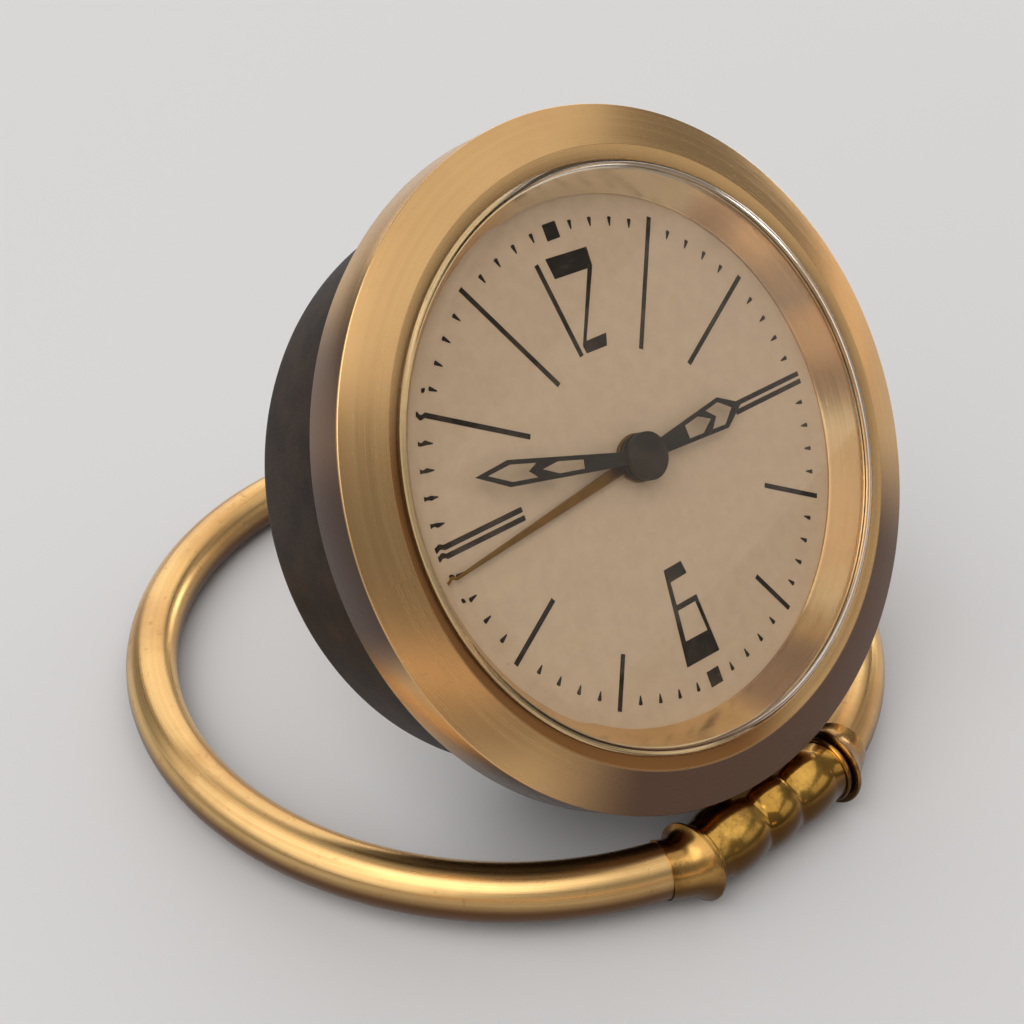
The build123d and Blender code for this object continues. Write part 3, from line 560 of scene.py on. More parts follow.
class Dresser:
    """Starts a material whose patterns sit in a sub-assembly's frame."""

    def __init__(self, name: str, place: Place) -> None:
        """Makes the material, its shader and its mapped coordinates.

        Args:
            name: The material's name.
            place: Frame that the patterns are centred on.
        """
        self.material = bpy.data.materials.new(name)
        self.material.use_nodes = True
        tree = self.material.node_tree
        tree.nodes.clear()
        self.bench = NodeBench(tree)
        output = self.bench.add("ShaderNodeOutputMaterial")
        self.shader = self.bench.add("ShaderNodeBsdfPrincipled")
        tree.links.new(self.shader.outputs[0], output.inputs["Surface"])
        spot, turn, size = place.matrix().inverted().decompose()
        coordinates = self.bench.add("ShaderNodeTexCoord")
        inputs = {
            "Vector": coordinates.outputs["Object"],
            "Location": spot,
            "Rotation": turn.to_euler(),
            "Scale": size,
        }
        self.local = self.bench.add("ShaderNodeMapping", inputs).outputs[0]

    def polar(self) -> tuple[Sequence[bpy.types.NodeSocket], bpy.types.NodeSocket]:
        """Local x, y and z, and the distance from the local z axis.

        Returns:
            The three sockets, and the distance's socket.
        """
        axes = self.bench.add("ShaderNodeSeparateXYZ", {0: self.local}).outputs
        squares = (self.bench.math("MULTIPLY", axes[index], axes[index]) for index in (0, 1))
        return axes, self.bench.math("SQRT", self.bench.math("ADD", *squares))

    def effect(self, tree: bpy.types.NodeTree, **inputs: float) -> bpy.types.Node:
        """Places a shared effect on the local coordinates.

        Args:
            tree: The effect's node group.
            inputs: Its values, by input name.

        Returns:
            The group node.
        """
        node = self.bench.add("ShaderNodeGroup", node_tree=tree)
        self.bench.tree.links.new(self.local, node.inputs["Vector"])
        for name, value in inputs.items():
            node.inputs[name].default_value = value
        return node

    def feed(self, name: str, value: object) -> None:
        """Links or sets one input of the shader.

        Args:
            name: The input's name.
            value: A socket, a colour or a number.
        """
        socket = self.shader.inputs[name]
        if isinstance(value, bpy.types.NodeSocket):
            self.bench.tree.links.new(value, socket)
        elif isinstance(value, tuple):
            socket.default_value = (*value, 1.0)
        else:
            socket.default_value = value

    def bump(self, height: bpy.types.NodeSocket, strength: float, distance: float) -> None:
        """Feeds a height in millimetres to the shader's normal.

        Args:
            height: Height socket.
            strength: Share of it that shows.
            distance: Depth of the relief in millimetres.
        """
        inputs = {"Height": height, "Strength": strength, "Distance": distance * MM}
        self.feed("Normal", self.bench.add("ShaderNodeBump", inputs).outputs[0])


@dataclass(frozen=True)
class GiltMetal:
    """Gilt or plain metal with lathe lines and tarnish."""

    name: str
    bright: Colour
    deep: Colour
    tarnish_colour: Colour
    grain: Grain = Grain.TURNED
    roughness: float = 0.28
    spread: float = 0.12
    pitch: float = 7.0
    relief: float = 0.012
    tarnish: float = 0.25
    specks: float = 0.15
    tarnish_scale: float = 0.12
    stain_rough: float = 0.12
    line_strength: float = 0.6

    def dress(self, place: Place) -> bpy.types.Material:
        """Builds the material.

        Args:
            place: Frame that its lines run round.

        Returns:
            The material.
        """
        dresser = Dresser(self.name, place)
        bench = dresser.bench
        if self.grain in (Grain.TURNED, Grain.DRAWN):
            lines = dresser.effect(Effects.turned_lines(), Pitch=self.pitch)
        else:
            lines = dresser.effect(Effects.fine_grain(), Scale=self.pitch)
        stain = dresser.effect(
            Effects.tarnish(), Scale=self.tarnish_scale, Amount=self.tarnish, Specks=self.specks
        ).outputs["Mask"]
        tone = bench.ramp(lines.outputs["Tone"], *NOISE_MIDDLE, 0.0, 1.0)
        colour = bench.mix(stain, bench.mix(tone, self.deep, self.bright), self.tarnish_colour)
        # Subclasses paint shade and highlights into the colour here.
        dresser.feed("Base Color", self.with_painted_light(dresser, colour))
        rough = bench.math("ADD", self.roughness - self.spread / 2, bench.math("MULTIPLY", tone, self.spread))
        stained = bench.math("MULTIPLY", stain, self.stain_rough)
        dresser.feed("Roughness", bench.math("ADD", rough, stained))
        dresser.feed("Metallic", 1.0)
        dresser.bump(lines.outputs["Height"], self.line_strength, self.relief)
        return dresser.material

    def with_painted_light(self, dresser: Dresser, colour: bpy.types.NodeSocket) -> bpy.types.NodeSocket:
        """Hook for painted shade and painted highlights in the metal's colour; plain metal keeps its colour.

        Args:
            dresser: The material being built.
            colour: Its colour so far.

        Returns:
            The colour to use.
        """
        return colour


@dataclass(frozen=True)
class PaintedLightArc:
    """Arc of a turned face with painted shade or a painted highlight: degrees round the axis, millimetres out
    from it and along it.
    """

    middle: float
    half_width: float
    fade: float
    inner: float
    outer: float
    low: float
    high: float
    colour: Colour


@dataclass(frozen=True)
class PaintedLightGilt(GiltMetal):
    """Gilt metal with painted shade and painted highlights in some arcs and not in others."""

    arcs: tuple[PaintedLightArc, ...] = ()
    edge: float = 0.12

    def with_painted_light(self, dresser: Dresser, colour: bpy.types.NodeSocket) -> bpy.types.NodeSocket:
        """Paints the shade or highlight of each arc in turn; see the base class.

        Args:
            dresser: The material being built.
            colour: Its colour so far.

        Returns:
            The colour with the painted shade and highlights in it.
        """
        bench = dresser.bench
        axes, radius = dresser.polar()
        for arc_ in self.arcs:
            turn = math.radians(arc_.middle)
            along = bench.math("ADD", bench.math("MULTIPLY", axes[0], math.cos(turn)),
                               bench.math("MULTIPLY", axes[1], math.sin(turn)))
            limits = (arc_.half_width + arc_.fade / 2, arc_.half_width - arc_.fade / 2)
            wide, narrow = (math.cos(math.radians(limit)) for limit in limits)
            mask: object = 1.0
            if arc_.half_width < 180.0:
                mask = bench.ramp(bench.math("DIVIDE", along, radius), wide, narrow, 0.0, 1.0)
            for value, low, high in ((radius, arc_.inner, arc_.outer), (axes[2], arc_.low, arc_.high)):
                above = bench.ramp(value, low - self.edge, low + self.edge, 0.0, 1.0)
                below = bench.ramp(value, high - self.edge, high + self.edge, 1.0, 0.0)
                mask = bench.math("MULTIPLY", mask, bench.math("MULTIPLY", above, below))
            # The arc's colour is painted shade or a painted highlight.
            colour = bench.mix(mask, colour, arc_.colour)
        return colour


@dataclass(frozen=True)
class Lacquer:
    """Painted, printed or enamelled surface with a fine grain."""

    name: str
    light: Colour
    dark: Colour
    worn: Colour
    roughness: float = 0.5
    grain_scale: float = 9.0
    relief: float = 0.01
    wear: float = 0.1
    shine: float = 0.5
    wear_scale: float = 0.22
    mottle: float = 0.12
    mottle_rough: float = 0.4
    grain_strength: float = 0.5

    def dress(self, place: Place) -> bpy.types.Material:
        """Builds the material.

        Args:
            place: Frame of its patterns.

        Returns:
            The material.
        """
        dresser = Dresser(self.name, place)
        bench = dresser.bench
        grain = dresser.effect(Effects.fine_grain(), Scale=self.grain_scale)
        wear = dresser.effect(Effects.tarnish(), Scale=self.wear_scale, Amount=self.wear, Specks=self.wear)
        tone = bench.ramp(grain.outputs["Tone"], *NOISE_MIDDLE, 0.0, 1.0)
        fine = bench.ramp(grain.outputs["Height"], *NOISE_MIDDLE, -self.mottle, self.mottle)
        shade = bench.math("ADD", tone, fine)
        colour = bench.mix(shade, self.dark, self.light)
        dresser.feed("Base Color", bench.mix(wear.outputs["Mask"], colour, self.worn))
        uneven = bench.math("MULTIPLY", fine, self.mottle_rough)
        dresser.feed("Roughness", bench.math("ADD", self.roughness, uneven))
        dresser.feed("Specular IOR Level", self.shine)
        dresser.bump(grain.outputs["Height"], self.grain_strength, self.relief)
        return dresser.material


@dataclass(frozen=True)
class ClearAcrylic:
    """Clear domed acrylic with faint hairline scratches, which bends light less at its worn left shoulder."""

    name: str
    tint: Colour = (0.985, 0.98, 0.965)
    roughness: float = 0.012
    index: float = 1.49
    scratch_scale: float = 2.2
    scratch_strength: float = 0.2
    scratch_relief: float = 0.002
    haze_range: Point = (0.55, 0.75)
    haze: float = 0.03
    glare: Colour = (0.50, 0.43, 0.35)
    worn_index: float = 1.2
    worn_radius: Point = (25.9, 26.5)
    worn_side: Point = (4.0, -6.0)

    def dress(self, place: Place) -> bpy.types.Material:
        """Builds the material.

        Args:
            place: Frame of its patterns.

        Returns:
            The material.
        """
        dresser = Dresser(self.name, place)
        bench = dresser.bench
        grain = dresser.effect(Effects.fine_grain(), Scale=self.scratch_scale)
        haze = bench.ramp(grain.outputs["Height"], *self.haze_range, 0.0, self.haze)
        dresser.feed("Base Color", self.tint)
        dresser.feed("Roughness", bench.math("ADD", self.roughness, haze))
        axes, radius = dresser.polar()
        outer = bench.ramp(radius, *self.worn_radius, 0.0, 1.0)
        left = bench.ramp(axes[0], *self.worn_side, 0.0, 1.0)
        change = bench.math("MULTIPLY", bench.math("MULTIPLY", outer, left), self.worn_index - self.index)
        dresser.feed("IOR", bench.math("ADD", self.index, change))
        dresser.feed("Transmission Weight", 1.0)
        dresser.feed("Specular Tint", self.glare)
        dresser.bump(grain.outputs["Height"], self.scratch_strength, self.scratch_relief)
        return dresser.material


# Its arcs paint shade and dark reflections into the gold: darker sectors of the side band at the left and
# bottom, a dark cone sector at the lower right and a darker land at the lower left.
BEZEL_GOLD = PaintedLightGilt(
    "bezel_gold", (0.78, 0.485, 0.215), (0.72, 0.44, 0.19), (0.50, 0.28, 0.115), roughness=0.25, spread=0.06,
    relief=0.002, tarnish=0.15, specks=0.1,
    arcs=(
        PaintedLightArc(164.0, 25.0, 16.0, 32.5, 34.0, -6.0, -0.15, (0.20, 0.12, 0.075)),
        PaintedLightArc(176.0, 13.0, 14.0, 32.5, 34.0, -6.0, -0.15, (0.08, 0.05, 0.038)),
        PaintedLightArc(255.0, 45.0, 16.0, 32.5, 34.0, -6.0, -0.15, (0.12, 0.065, 0.04)),
        PaintedLightArc(281.0, 52.0, 26.0, 28.9, 34.0, -0.15, 2.0, (0.13, 0.075, 0.05)),
        PaintedLightArc(214.0, 60.0, 24.0, 27.0, 28.85, 0.0, 2.0, (0.30, 0.135, 0.045)),
    ),
)
# Its arc paints shade on the tube's underside, below the ring's middle plane, all round.
RING_GOLD = PaintedLightGilt(
    "ring_gold", (0.90, 0.62, 0.27), (0.66, 0.38, 0.14), (0.44, 0.20, 0.07), Grain.DRAWN,
    roughness=0.29, spread=0.12, pitch=2.6, relief=0.01, tarnish=0.4, specks=0.3, tarnish_scale=0.07,
    arcs=(PaintedLightArc(0.0, 360.0, 0.0, 0.0, 60.0, -6.0, 0.75, (0.15, 0.075, 0.035)),),
    edge=0.85,
)
# Its arc paints shade on the lower side of the beads.
HINGE_GOLD = PaintedLightGilt(
    "hinge_gold", (0.86, 0.50, 0.11), (0.56, 0.29, 0.055), (0.16, 0.075, 0.02), Grain.POLISHED,
    roughness=0.15, spread=0.08, pitch=3.0, relief=0.012, tarnish=0.75, specks=0.5, tarnish_scale=0.28,
    arcs=(PaintedLightArc(190.0, 103.0, 40.0, 0.0, 9.0, -20.0, 20.0, (0.10, 0.047, 0.012)),),
)
# Its arc paints shade on the lower side of the collars.
COLLAR_GOLD = PaintedLightGilt(
    "collar_gold", (0.60, 0.345, 0.105), (0.40, 0.21, 0.055), (0.16, 0.075, 0.024), Grain.POLISHED,
    roughness=0.22, spread=0.1, pitch=3.0, relief=0.01, tarnish=0.7, specks=0.5, tarnish_scale=0.3,
    arcs=(PaintedLightArc(195.0, 88.0, 40.0, 0.0, 9.0, -20.0, 20.0, (0.12, 0.06, 0.02)),),
)
# Near black: the saddle is painted as shade in the gap between the beads and the bezel.
SADDLE_SHADE = GiltMetal(
    "saddle_painted_shade", (0.14, 0.075, 0.022), (0.09, 0.048, 0.014), (0.05, 0.025, 0.01), Grain.SATIN, roughness=0.4
)
# Its arcs paint a whitish highlight near the top and darker or warmer painted reflection tones round its
# right side.
REFLECTOR_GOLD = PaintedLightGilt(
    "reflector_gold", (0.96, 0.72, 0.41), (0.86, 0.62, 0.33), (0.5, 0.31, 0.14), roughness=0.2, relief=0.008,
    arcs=(
        PaintedLightArc(75.0, 25.0, 16.0, 24.0, 29.0, -6.0, 2.0, (0.90, 0.82, 0.66)),
        PaintedLightArc(29.0, 20.0, 16.0, 24.0, 29.0, -6.0, 2.0, (0.525, 0.39, 0.283)),
        PaintedLightArc(4.0, 9.0, 10.0, 24.0, 29.0, -6.0, 2.0, (0.78, 0.50, 0.28)),
        PaintedLightArc(-32.0, 16.0, 14.0, 24.0, 29.0, -6.0, 2.0, (0.72, 0.47, 0.24)),
        PaintedLightArc(-76.0, 9.0, 12.0, 24.0, 29.0, -6.0, 2.0, (0.52, 0.38, 0.27)),
    ),
)
KEY_BRASS = GiltMetal(
    "key_brass", (0.80, 0.55, 0.22), (0.66, 0.42, 0.15), (0.38, 0.22, 0.08), Grain.POLISHED, roughness=0.24
)
ALARM_BRASS = GiltMetal(
    "alarm_brass", (0.27, 0.13, 0.022), (0.20, 0.095, 0.016), (0.12, 0.055, 0.012), Grain.SATIN,
    roughness=0.42,
)
COVER_STEEL = GiltMetal(
    "cover_steel", (0.72, 0.71, 0.68), (0.58, 0.57, 0.55), (0.34, 0.31, 0.27), roughness=0.3, pitch=5.0
)
PLAIN_STEEL = GiltMetal("steel", (0.66, 0.66, 0.67), (0.52, 0.52, 0.54), (0.3, 0.28, 0.26), Grain.SATIN)
PLATE_BRASS = GiltMetal("plate_brass", (0.82, 0.62, 0.28), (0.7, 0.5, 0.2), (0.45, 0.3, 0.12), Grain.SATIN)
WHEEL_BRASS = GiltMetal("wheel_brass", (0.86, 0.66, 0.3), (0.74, 0.54, 0.22), (0.5, 0.34, 0.14))
DIAL_CREAM = Lacquer(
    "dial_cream", (0.55, 0.41, 0.275), (0.51, 0.375, 0.25), (0.43, 0.305, 0.195), roughness=0.42,
    grain_scale=11.0, relief=0.006,
)
DIAL_INK = Lacquer(
    "dial_ink", (0.013, 0.009, 0.006), (0.007, 0.005, 0.003), (0.16, 0.11, 0.07), roughness=0.55,
    grain_scale=6.0, relief=0.004, wear=0.3, shine=0.12,
)
HAND_BLACK = Lacquer(
    "hand_black", (0.012, 0.009, 0.006), (0.006, 0.005, 0.003), (0.04, 0.03, 0.02), roughness=0.4,
    grain_scale=6.0, shine=0.2,
)
CAP_BLACK = Lacquer(
    "cap_black", (0.02, 0.014, 0.01), (0.007, 0.005, 0.003), (0.05, 0.034, 0.023), roughness=0.45,
    grain_scale=9.0, relief=0.03, wear=0.6, shine=0.15,
)
CASE_DARK = Lacquer(
    "case_dark", (0.027, 0.015, 0.009), (0.014, 0.008, 0.005), (0.065, 0.033, 0.014), roughness=0.5,
    grain_scale=5.0, relief=0.02, wear=0.35, shine=0.08,
)
CRYSTAL = ClearAcrylic("crystal")
DIAL_LEVEL = -2.95


class Fitter:
    """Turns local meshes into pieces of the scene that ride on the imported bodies."""

    def __init__(self, layout: Layout) -> None:
        """Keeps the layout."""
        self.layout = layout

    def piece(
        self, name: str, shape: bmesh.types.BMesh, place: Place, material: bpy.types.Material,
        node: str, replace: bool = True, sharp: float = 32.0,
    ) -> bpy.types.Object:
        """Places a finished mesh.

        Args:
            name: The piece's name.
            shape: Its mesh in local millimetres, which is freed.
            place: Its frame.
            material: Its finish.
            node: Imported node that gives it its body.
            replace: Whether it stands for that node.
            sharp: Edges that turn by more degrees than this stay sharp.

        Returns:
            The piece's object.
        """
        mesh = bpy.data.meshes.new(name)
        shape.to_mesh(mesh)
        shape.free()
        return self.mesh_piece(name, mesh, place, material, node, replace, sharp)

    def mesh_piece(
        self, name: str, mesh: bpy.types.Mesh, place: Place, material: bpy.types.Material,
        node: str, replace: bool = True, sharp: float = 32.0,
    ) -> bpy.types.Object:
        """Places a mesh in local millimetres.

        Args:
            name: The piece's name.
            mesh: Its mesh in local millimetres.
            place: Its frame.
            material: Its finish.
            node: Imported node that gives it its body.
            replace: Whether it stands for that node.
            sharp: Edges that turn by more degrees than this stay sharp.

        Returns:
            The piece's object.
        """
        mesh.transform(place.matrix())
        mesh.shade_smooth()
        mesh.set_sharp_from_angle(angle=math.radians(sharp))
        mesh.materials.clear()
        mesh.materials.append(material)
        thing = bpy.data.objects.new(name, mesh)
        bpy.context.scene.collection.objects.link(thing)
        body = self.layout.owners[node]
        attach(thing, body)
        if replace:
            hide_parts(node)
        LOG.info("%s rides on %s with %d faces", name, body, len(mesh.polygons))
        return thing


class Repeater:
    """Repeats a small shape round a circle with Geometry Nodes."""

    @staticmethod
    def tree(name: str) -> bpy.types.NodeTree:
        """Builds the tree that copies a shape round a circle.

        Args:
            name: The tree's name.

        Returns:
            The tree: Shape, Count, Radius, Start, Skip and Material are its inputs.
        """
        tree = bpy.data.node_groups.new(name, "GeometryNodeTree")
        sockets = (
            ("Geometry", "NodeSocketGeometry"), ("Shape", "NodeSocketObject"), ("Count", "NodeSocketInt"),
            ("Radius", "NodeSocketFloat"), ("Start", "NodeSocketFloat"), ("Skip", "NodeSocketInt"),
            ("Material", "NodeSocketMaterial"),
        )
        for title, kind in sockets:
            tree.interface.new_socket(name=title, in_out="INPUT", socket_type=kind)
        tree.interface.new_socket(name="Geometry", in_out="OUTPUT", socket_type="NodeSocketGeometry")
        bench = NodeBench(tree)
        start, end = bench.add("NodeGroupInput"), bench.add("NodeGroupOutput")
        shape = bench.add("GeometryNodeObjectInfo", {"Object": start.outputs["Shape"]})
        points = bench.add("GeometryNodePoints", {"Count": start.outputs["Count"]})
        index = bench.add("GeometryNodeInputIndex").outputs[0]
        step = bench.math("DIVIDE", math.tau, start.outputs["Count"])
        turn = bench.math("ADD", bench.math("MULTIPLY", index, step), start.outputs["Start"])
        across = bench.math("MULTIPLY", bench.math("COSINE", turn), start.outputs["Radius"])
        along = bench.math("MULTIPLY", bench.math("SINE", turn), start.outputs["Radius"])
        spot = bench.add("ShaderNodeCombineXYZ", {0: across, 1: along}).outputs[0]
        placed = bench.add("GeometryNodeSetPosition", {"Geometry": points.outputs[0], "Position": spot})
        spin = bench.add("ShaderNodeCombineXYZ", {2: turn}).outputs[0]
        rest = bench.math("MODULO", index, start.outputs["Skip"])
        kept = bench.math("GREATER_THAN", rest, 0.5)
        copies = bench.add("GeometryNodeInstanceOnPoints", {
            "Points": placed.outputs[0], "Instance": shape.outputs["Geometry"],
            "Selection": kept, "Rotation": spin,
        })
        real = bench.add("GeometryNodeRealizeInstances", {0: copies.outputs[0]})
        dressed = bench.add(
            "GeometryNodeSetMaterial", {"Geometry": real.outputs[0], "Material": start.outputs["Material"]}
        )
        tree.links.new(dressed.outputs[0], end.inputs[0])
        return tree

    def __init__(self) -> None:
        """Builds the tree once."""
        self.ring = Repeater.tree("copies_round_a_circle")

    def copies(
        self, shape: bmesh.types.BMesh, material: bpy.types.Material,
        count: int, radius: float, start: float = 0.0, skip: int = 1,
    ) -> bpy.types.Mesh:
        """Repeats a shape round the local z axis.

        Args:
            shape: The shape at its own origin, pointing outwards along x; it is freed.
            material: Finish of the copies.
            count: Places round the circle.
            radius: Radius of the circle.
            start: Angle of the first place in degrees.
            skip: Places whose number this divides are left out, counted from 0; 1 leaves out only place 0.

        Returns:
            One plain mesh of all the copies.
        """
        source_mesh = bpy.data.meshes.new("repeated_shape")
        shape.to_mesh(source_mesh)
        shape.free()
        source = bpy.data.objects.new("repeated_shape", source_mesh)
        host_mesh = bpy.data.meshes.new("repeat_host")
        host = bpy.data.objects.new("repeat_host", host_mesh)
        bpy.context.scene.collection.objects.link(host)
        modifier = host.modifiers.new("copies", "NODES")
        modifier.node_group = self.ring
        values = {
            "Shape": source, "Count": count, "Radius": radius, "Start": math.radians(start),
            "Skip": skip if skip > 1 else 10**6, "Material": material,
        }
        for item in self.ring.interface.items_tree:
            if item.in_out == "INPUT" and item.name in values:
                modifier[item.identifier] = values[item.name]
        graph = bpy.context.evaluated_depsgraph_get()
        mesh = bpy.data.meshes.new_from_object(host.evaluated_get(graph))
        host.modifiers.clear()
        bpy.data.objects.remove(host)
        bpy.data.meshes.remove(host_mesh)
        bpy.data.objects.remove(source)
        bpy.data.meshes.remove(source_mesh)
        return mesh


@dataclass
class StandRing:
    """Round tube that the clock leans on, with a flared collar at each end."""

    tube_radius: float = 2.75
    ring_radius: float = 38.83
    gap: float = 8.8
    collar_radius: float = 4.05
    collar_face: float = 9.7
    collar_rim: float = 0.35
    collar_width: float = 1.3
    edge_round: float = 0.1
    sleeve_length: float = 2.9
    sleeve_end: float = 2.9
    flare: float = 3.4
    flare_steps: int = 18
    axle_radius: float = 1.2
    spans: int = 200
    sides: int = 40

    @property
    def reach(self) -> float:
        """Distance from the hinge to the ring's centre."""
        return math.sqrt(self.ring_radius**2 - self.gap**2)

    def tube(self) -> bmesh.types.BMesh:
        """Sweeps the tube round the ring and ends it flat on the collars.

        Returns:
            The tube's mesh in the ring's frame.
        """
        shape = bmesh.new()
        stop = self.collar_face + self.collar_width
        rows = []
        for side in range(self.sides):
            angle = math.tau * side / self.sides
            radius = self.ring_radius + self.tube_radius * math.cos(angle)
            height = self.tube_radius * math.sin(angle)
            edge = math.asin(stop / radius)
            row = []
            for span in range(self.spans + 1):
                swing = -math.pi / 2 + edge + (math.tau - 2 * edge) * span / self.spans
                row.append(shape.verts.new((radius * math.cos(swing), radius * math.sin(swing), height)))
            rows.append(row)
        for side, row in enumerate(rows):
            beside = rows[(side + 1) % self.sides]
            for span in range(self.spans):
                shape.faces.new((row[span], row[span + 1], beside[span + 1], beside[span]))
        for end in (0, self.spans):
            shape.faces.new([row[end] for row in rows])
        MeshShop.clean(shape)
        return shape

    def collar(self, side: int) -> bmesh.types.BMesh:
        """One collar: a thin rim that flares into a sleeve round the tube.

        Args:
            side: -1 for the left collar and 1 for the right.

        Returns:
            The collar's mesh in the ring's frame.
        """
        straight = Vector((side, 0.0, 0.0))
        soft = self.edge_round
        rim = ((0.0, self.axle_radius), (0.0, self.collar_radius - soft), (soft, self.collar_radius))
        circles = [(Vector((side * (self.collar_face + x), -self.reach, 0.0)), straight, r) for x, r in rim]
        for step in range(self.flare_steps + 1):
            share = step / self.flare_steps
            across = self.collar_face + self.collar_rim + self.sleeve_length * share
            swing = math.asin(across / self.ring_radius)
            drop = (self.reach - self.ring_radius * math.cos(swing)) * share - self.reach
            along = Vector((side * math.cos(swing * share), math.sin(swing * share), 0.0))
            radius = self.sleeve_end + (self.collar_radius - self.sleeve_end) * (1 - share) ** self.flare
            circles.append((Vector((side * across, drop, 0.0)), along, radius))
        centre, along, _ = circles[-1]
        circles.append((centre, along, self.tube_radius - self.edge_round))
        return MeshShop.skin(circles)

    def build(self, fitter: Fitter) -> None:
        """Builds and dresses the stand.

        Args:
            fitter: Places the pieces.
        """
        layout = fitter.layout
        gold = RING_GOLD.dress(layout.ring)
        collar_gold = COLLAR_GOLD.dress(layout.hinge)
        fitter.piece("ring_tube", self.tube(), layout.ring, gold, "stand_ring")
        for side, node in ((-1, "collar_left"), (1, "collar_right")):
            fitter.piece(f"flared_{node}", self.collar(side), layout.ring, collar_gold, node)


@dataclass
class HingeBarrel:
    """Three turned beads on a saddle under the bezel."""

    half_length: float = 9.5
    bead_radius: float = 3.6
    groove_radius: float = 3.15
    middle_bead: float = 4.6
    outer_bead: float = 5.3
    neck_radius: float = 3.2
    rim_radius: float = 3.45
    rim_width: float = 0.6
    rim_round: float = 0.2
    neck_round: float = 0.1
    bore: float = 1.25
    saddle_length: float = 8.0
    saddle_width: float = 2.4
    drop: float = 37.0
    band_radius: float = 33.0
    saddle_edge: float = 0.15
    bead_power: float = 2.2
    bead_steps: int = 14
    saddle_steps: int = 24
    segments: int = 112

    def bead(self, low: float, high: float, low_radius: float, high_radius: float) -> list[Point]:
        """Profile of one rounded bead.

        Args:
            low: Where it starts along the hinge.
            high: Where it ends.
            low_radius: Radius at its start.
            high_radius: Radius at its end.

        Returns:
            Radius and place of its points.
        """
        points = []
        for step in range(self.bead_steps + 1):
            share = step / self.bead_steps
            base = low_radius + (high_radius - low_radius) * share
            swell = 1.0 - abs(2.0 * share - 1.0) ** self.bead_power
            points.append((base + (self.bead_radius - base) * swell, low + (high - low) * share))
        return points

    def profile(self) -> list[Point]:
        """Closed profile of the barrel from its left end to its right.

        Returns:
            Radius and height of its points.
        """
        middle, outer = self.middle_bead / 2, self.middle_bead / 2 + self.outer_bead
        flat = self.half_length - self.rim_width
        rim = filleted([
            (self.bore, -self.half_length, 0.0), (self.rim_radius, -self.half_length, self.rim_round),
            (self.rim_radius, -flat, self.rim_round), (self.neck_radius, -flat, self.neck_round),
        ], 4)
        left = self.bead(-outer, -middle, self.neck_radius, self.groove_radius)
        centre = self.bead(-middle, middle, self.groove_radius, self.groove_radius)
        right = self.bead(middle, outer, self.groove_radius, self.neck_radius)
        ends = [(radius, -height) for radius, height in reversed(rim)]
        return rim + left + centre[1:] + right[1:] + ends

    def saddle(self) -> bmesh.types.BMesh:
        """Block from the beads up to the bezel's band, with its top hollowed to fit the band.

        Returns:
            The block's mesh in the head's frame.
        """
        half = self.saddle_length / 2
        pace = self.saddle_length / self.saddle_steps
        spots = [half - pace * step for step in range(self.saddle_steps + 1)]
        top = [(spot, -math.sqrt(self.band_radius**2 - spot**2)) for spot in spots]
        outline = [(-half, -self.drop), (half, -self.drop)] + top
        return MeshShop.plate([outline], -self.saddle_width / 2, self.saddle_width / 2, self.saddle_edge)

    def build(self, fitter: Fitter) -> None:
        """Builds and dresses the barrel with its saddle.

        Args:
            fitter: Places the pieces.
        """
        layout = fitter.layout
        gold = HINGE_GOLD.dress(layout.hinge)
        setback = (layout.hinge.origin - layout.head.origin).dot(layout.head.axis) / MM
        turned = MeshShop.lathe(self.profile(), self.segments)
        bmesh.ops.transform(
            turned, matrix=layout.head.matrix().inverted() @ layout.hinge.matrix(), verts=turned.verts
        )
        saddle = self.saddle()
        bmesh.ops.translate(saddle, verts=saddle.verts, vec=(0.0, 0.0, setback))
        fitter.piece("beaded_barrel", turned, layout.head, gold, "hinge_barrel", sharp=50.0)
        # Painted shade: the saddle is near black so that it reads as the dark gap under the bezel.
        dark = SADDLE_SHADE.dress(layout.hinge)
        fitter.piece("barrel_saddle", saddle, layout.head, dark, "hinge_barrel", replace=False)


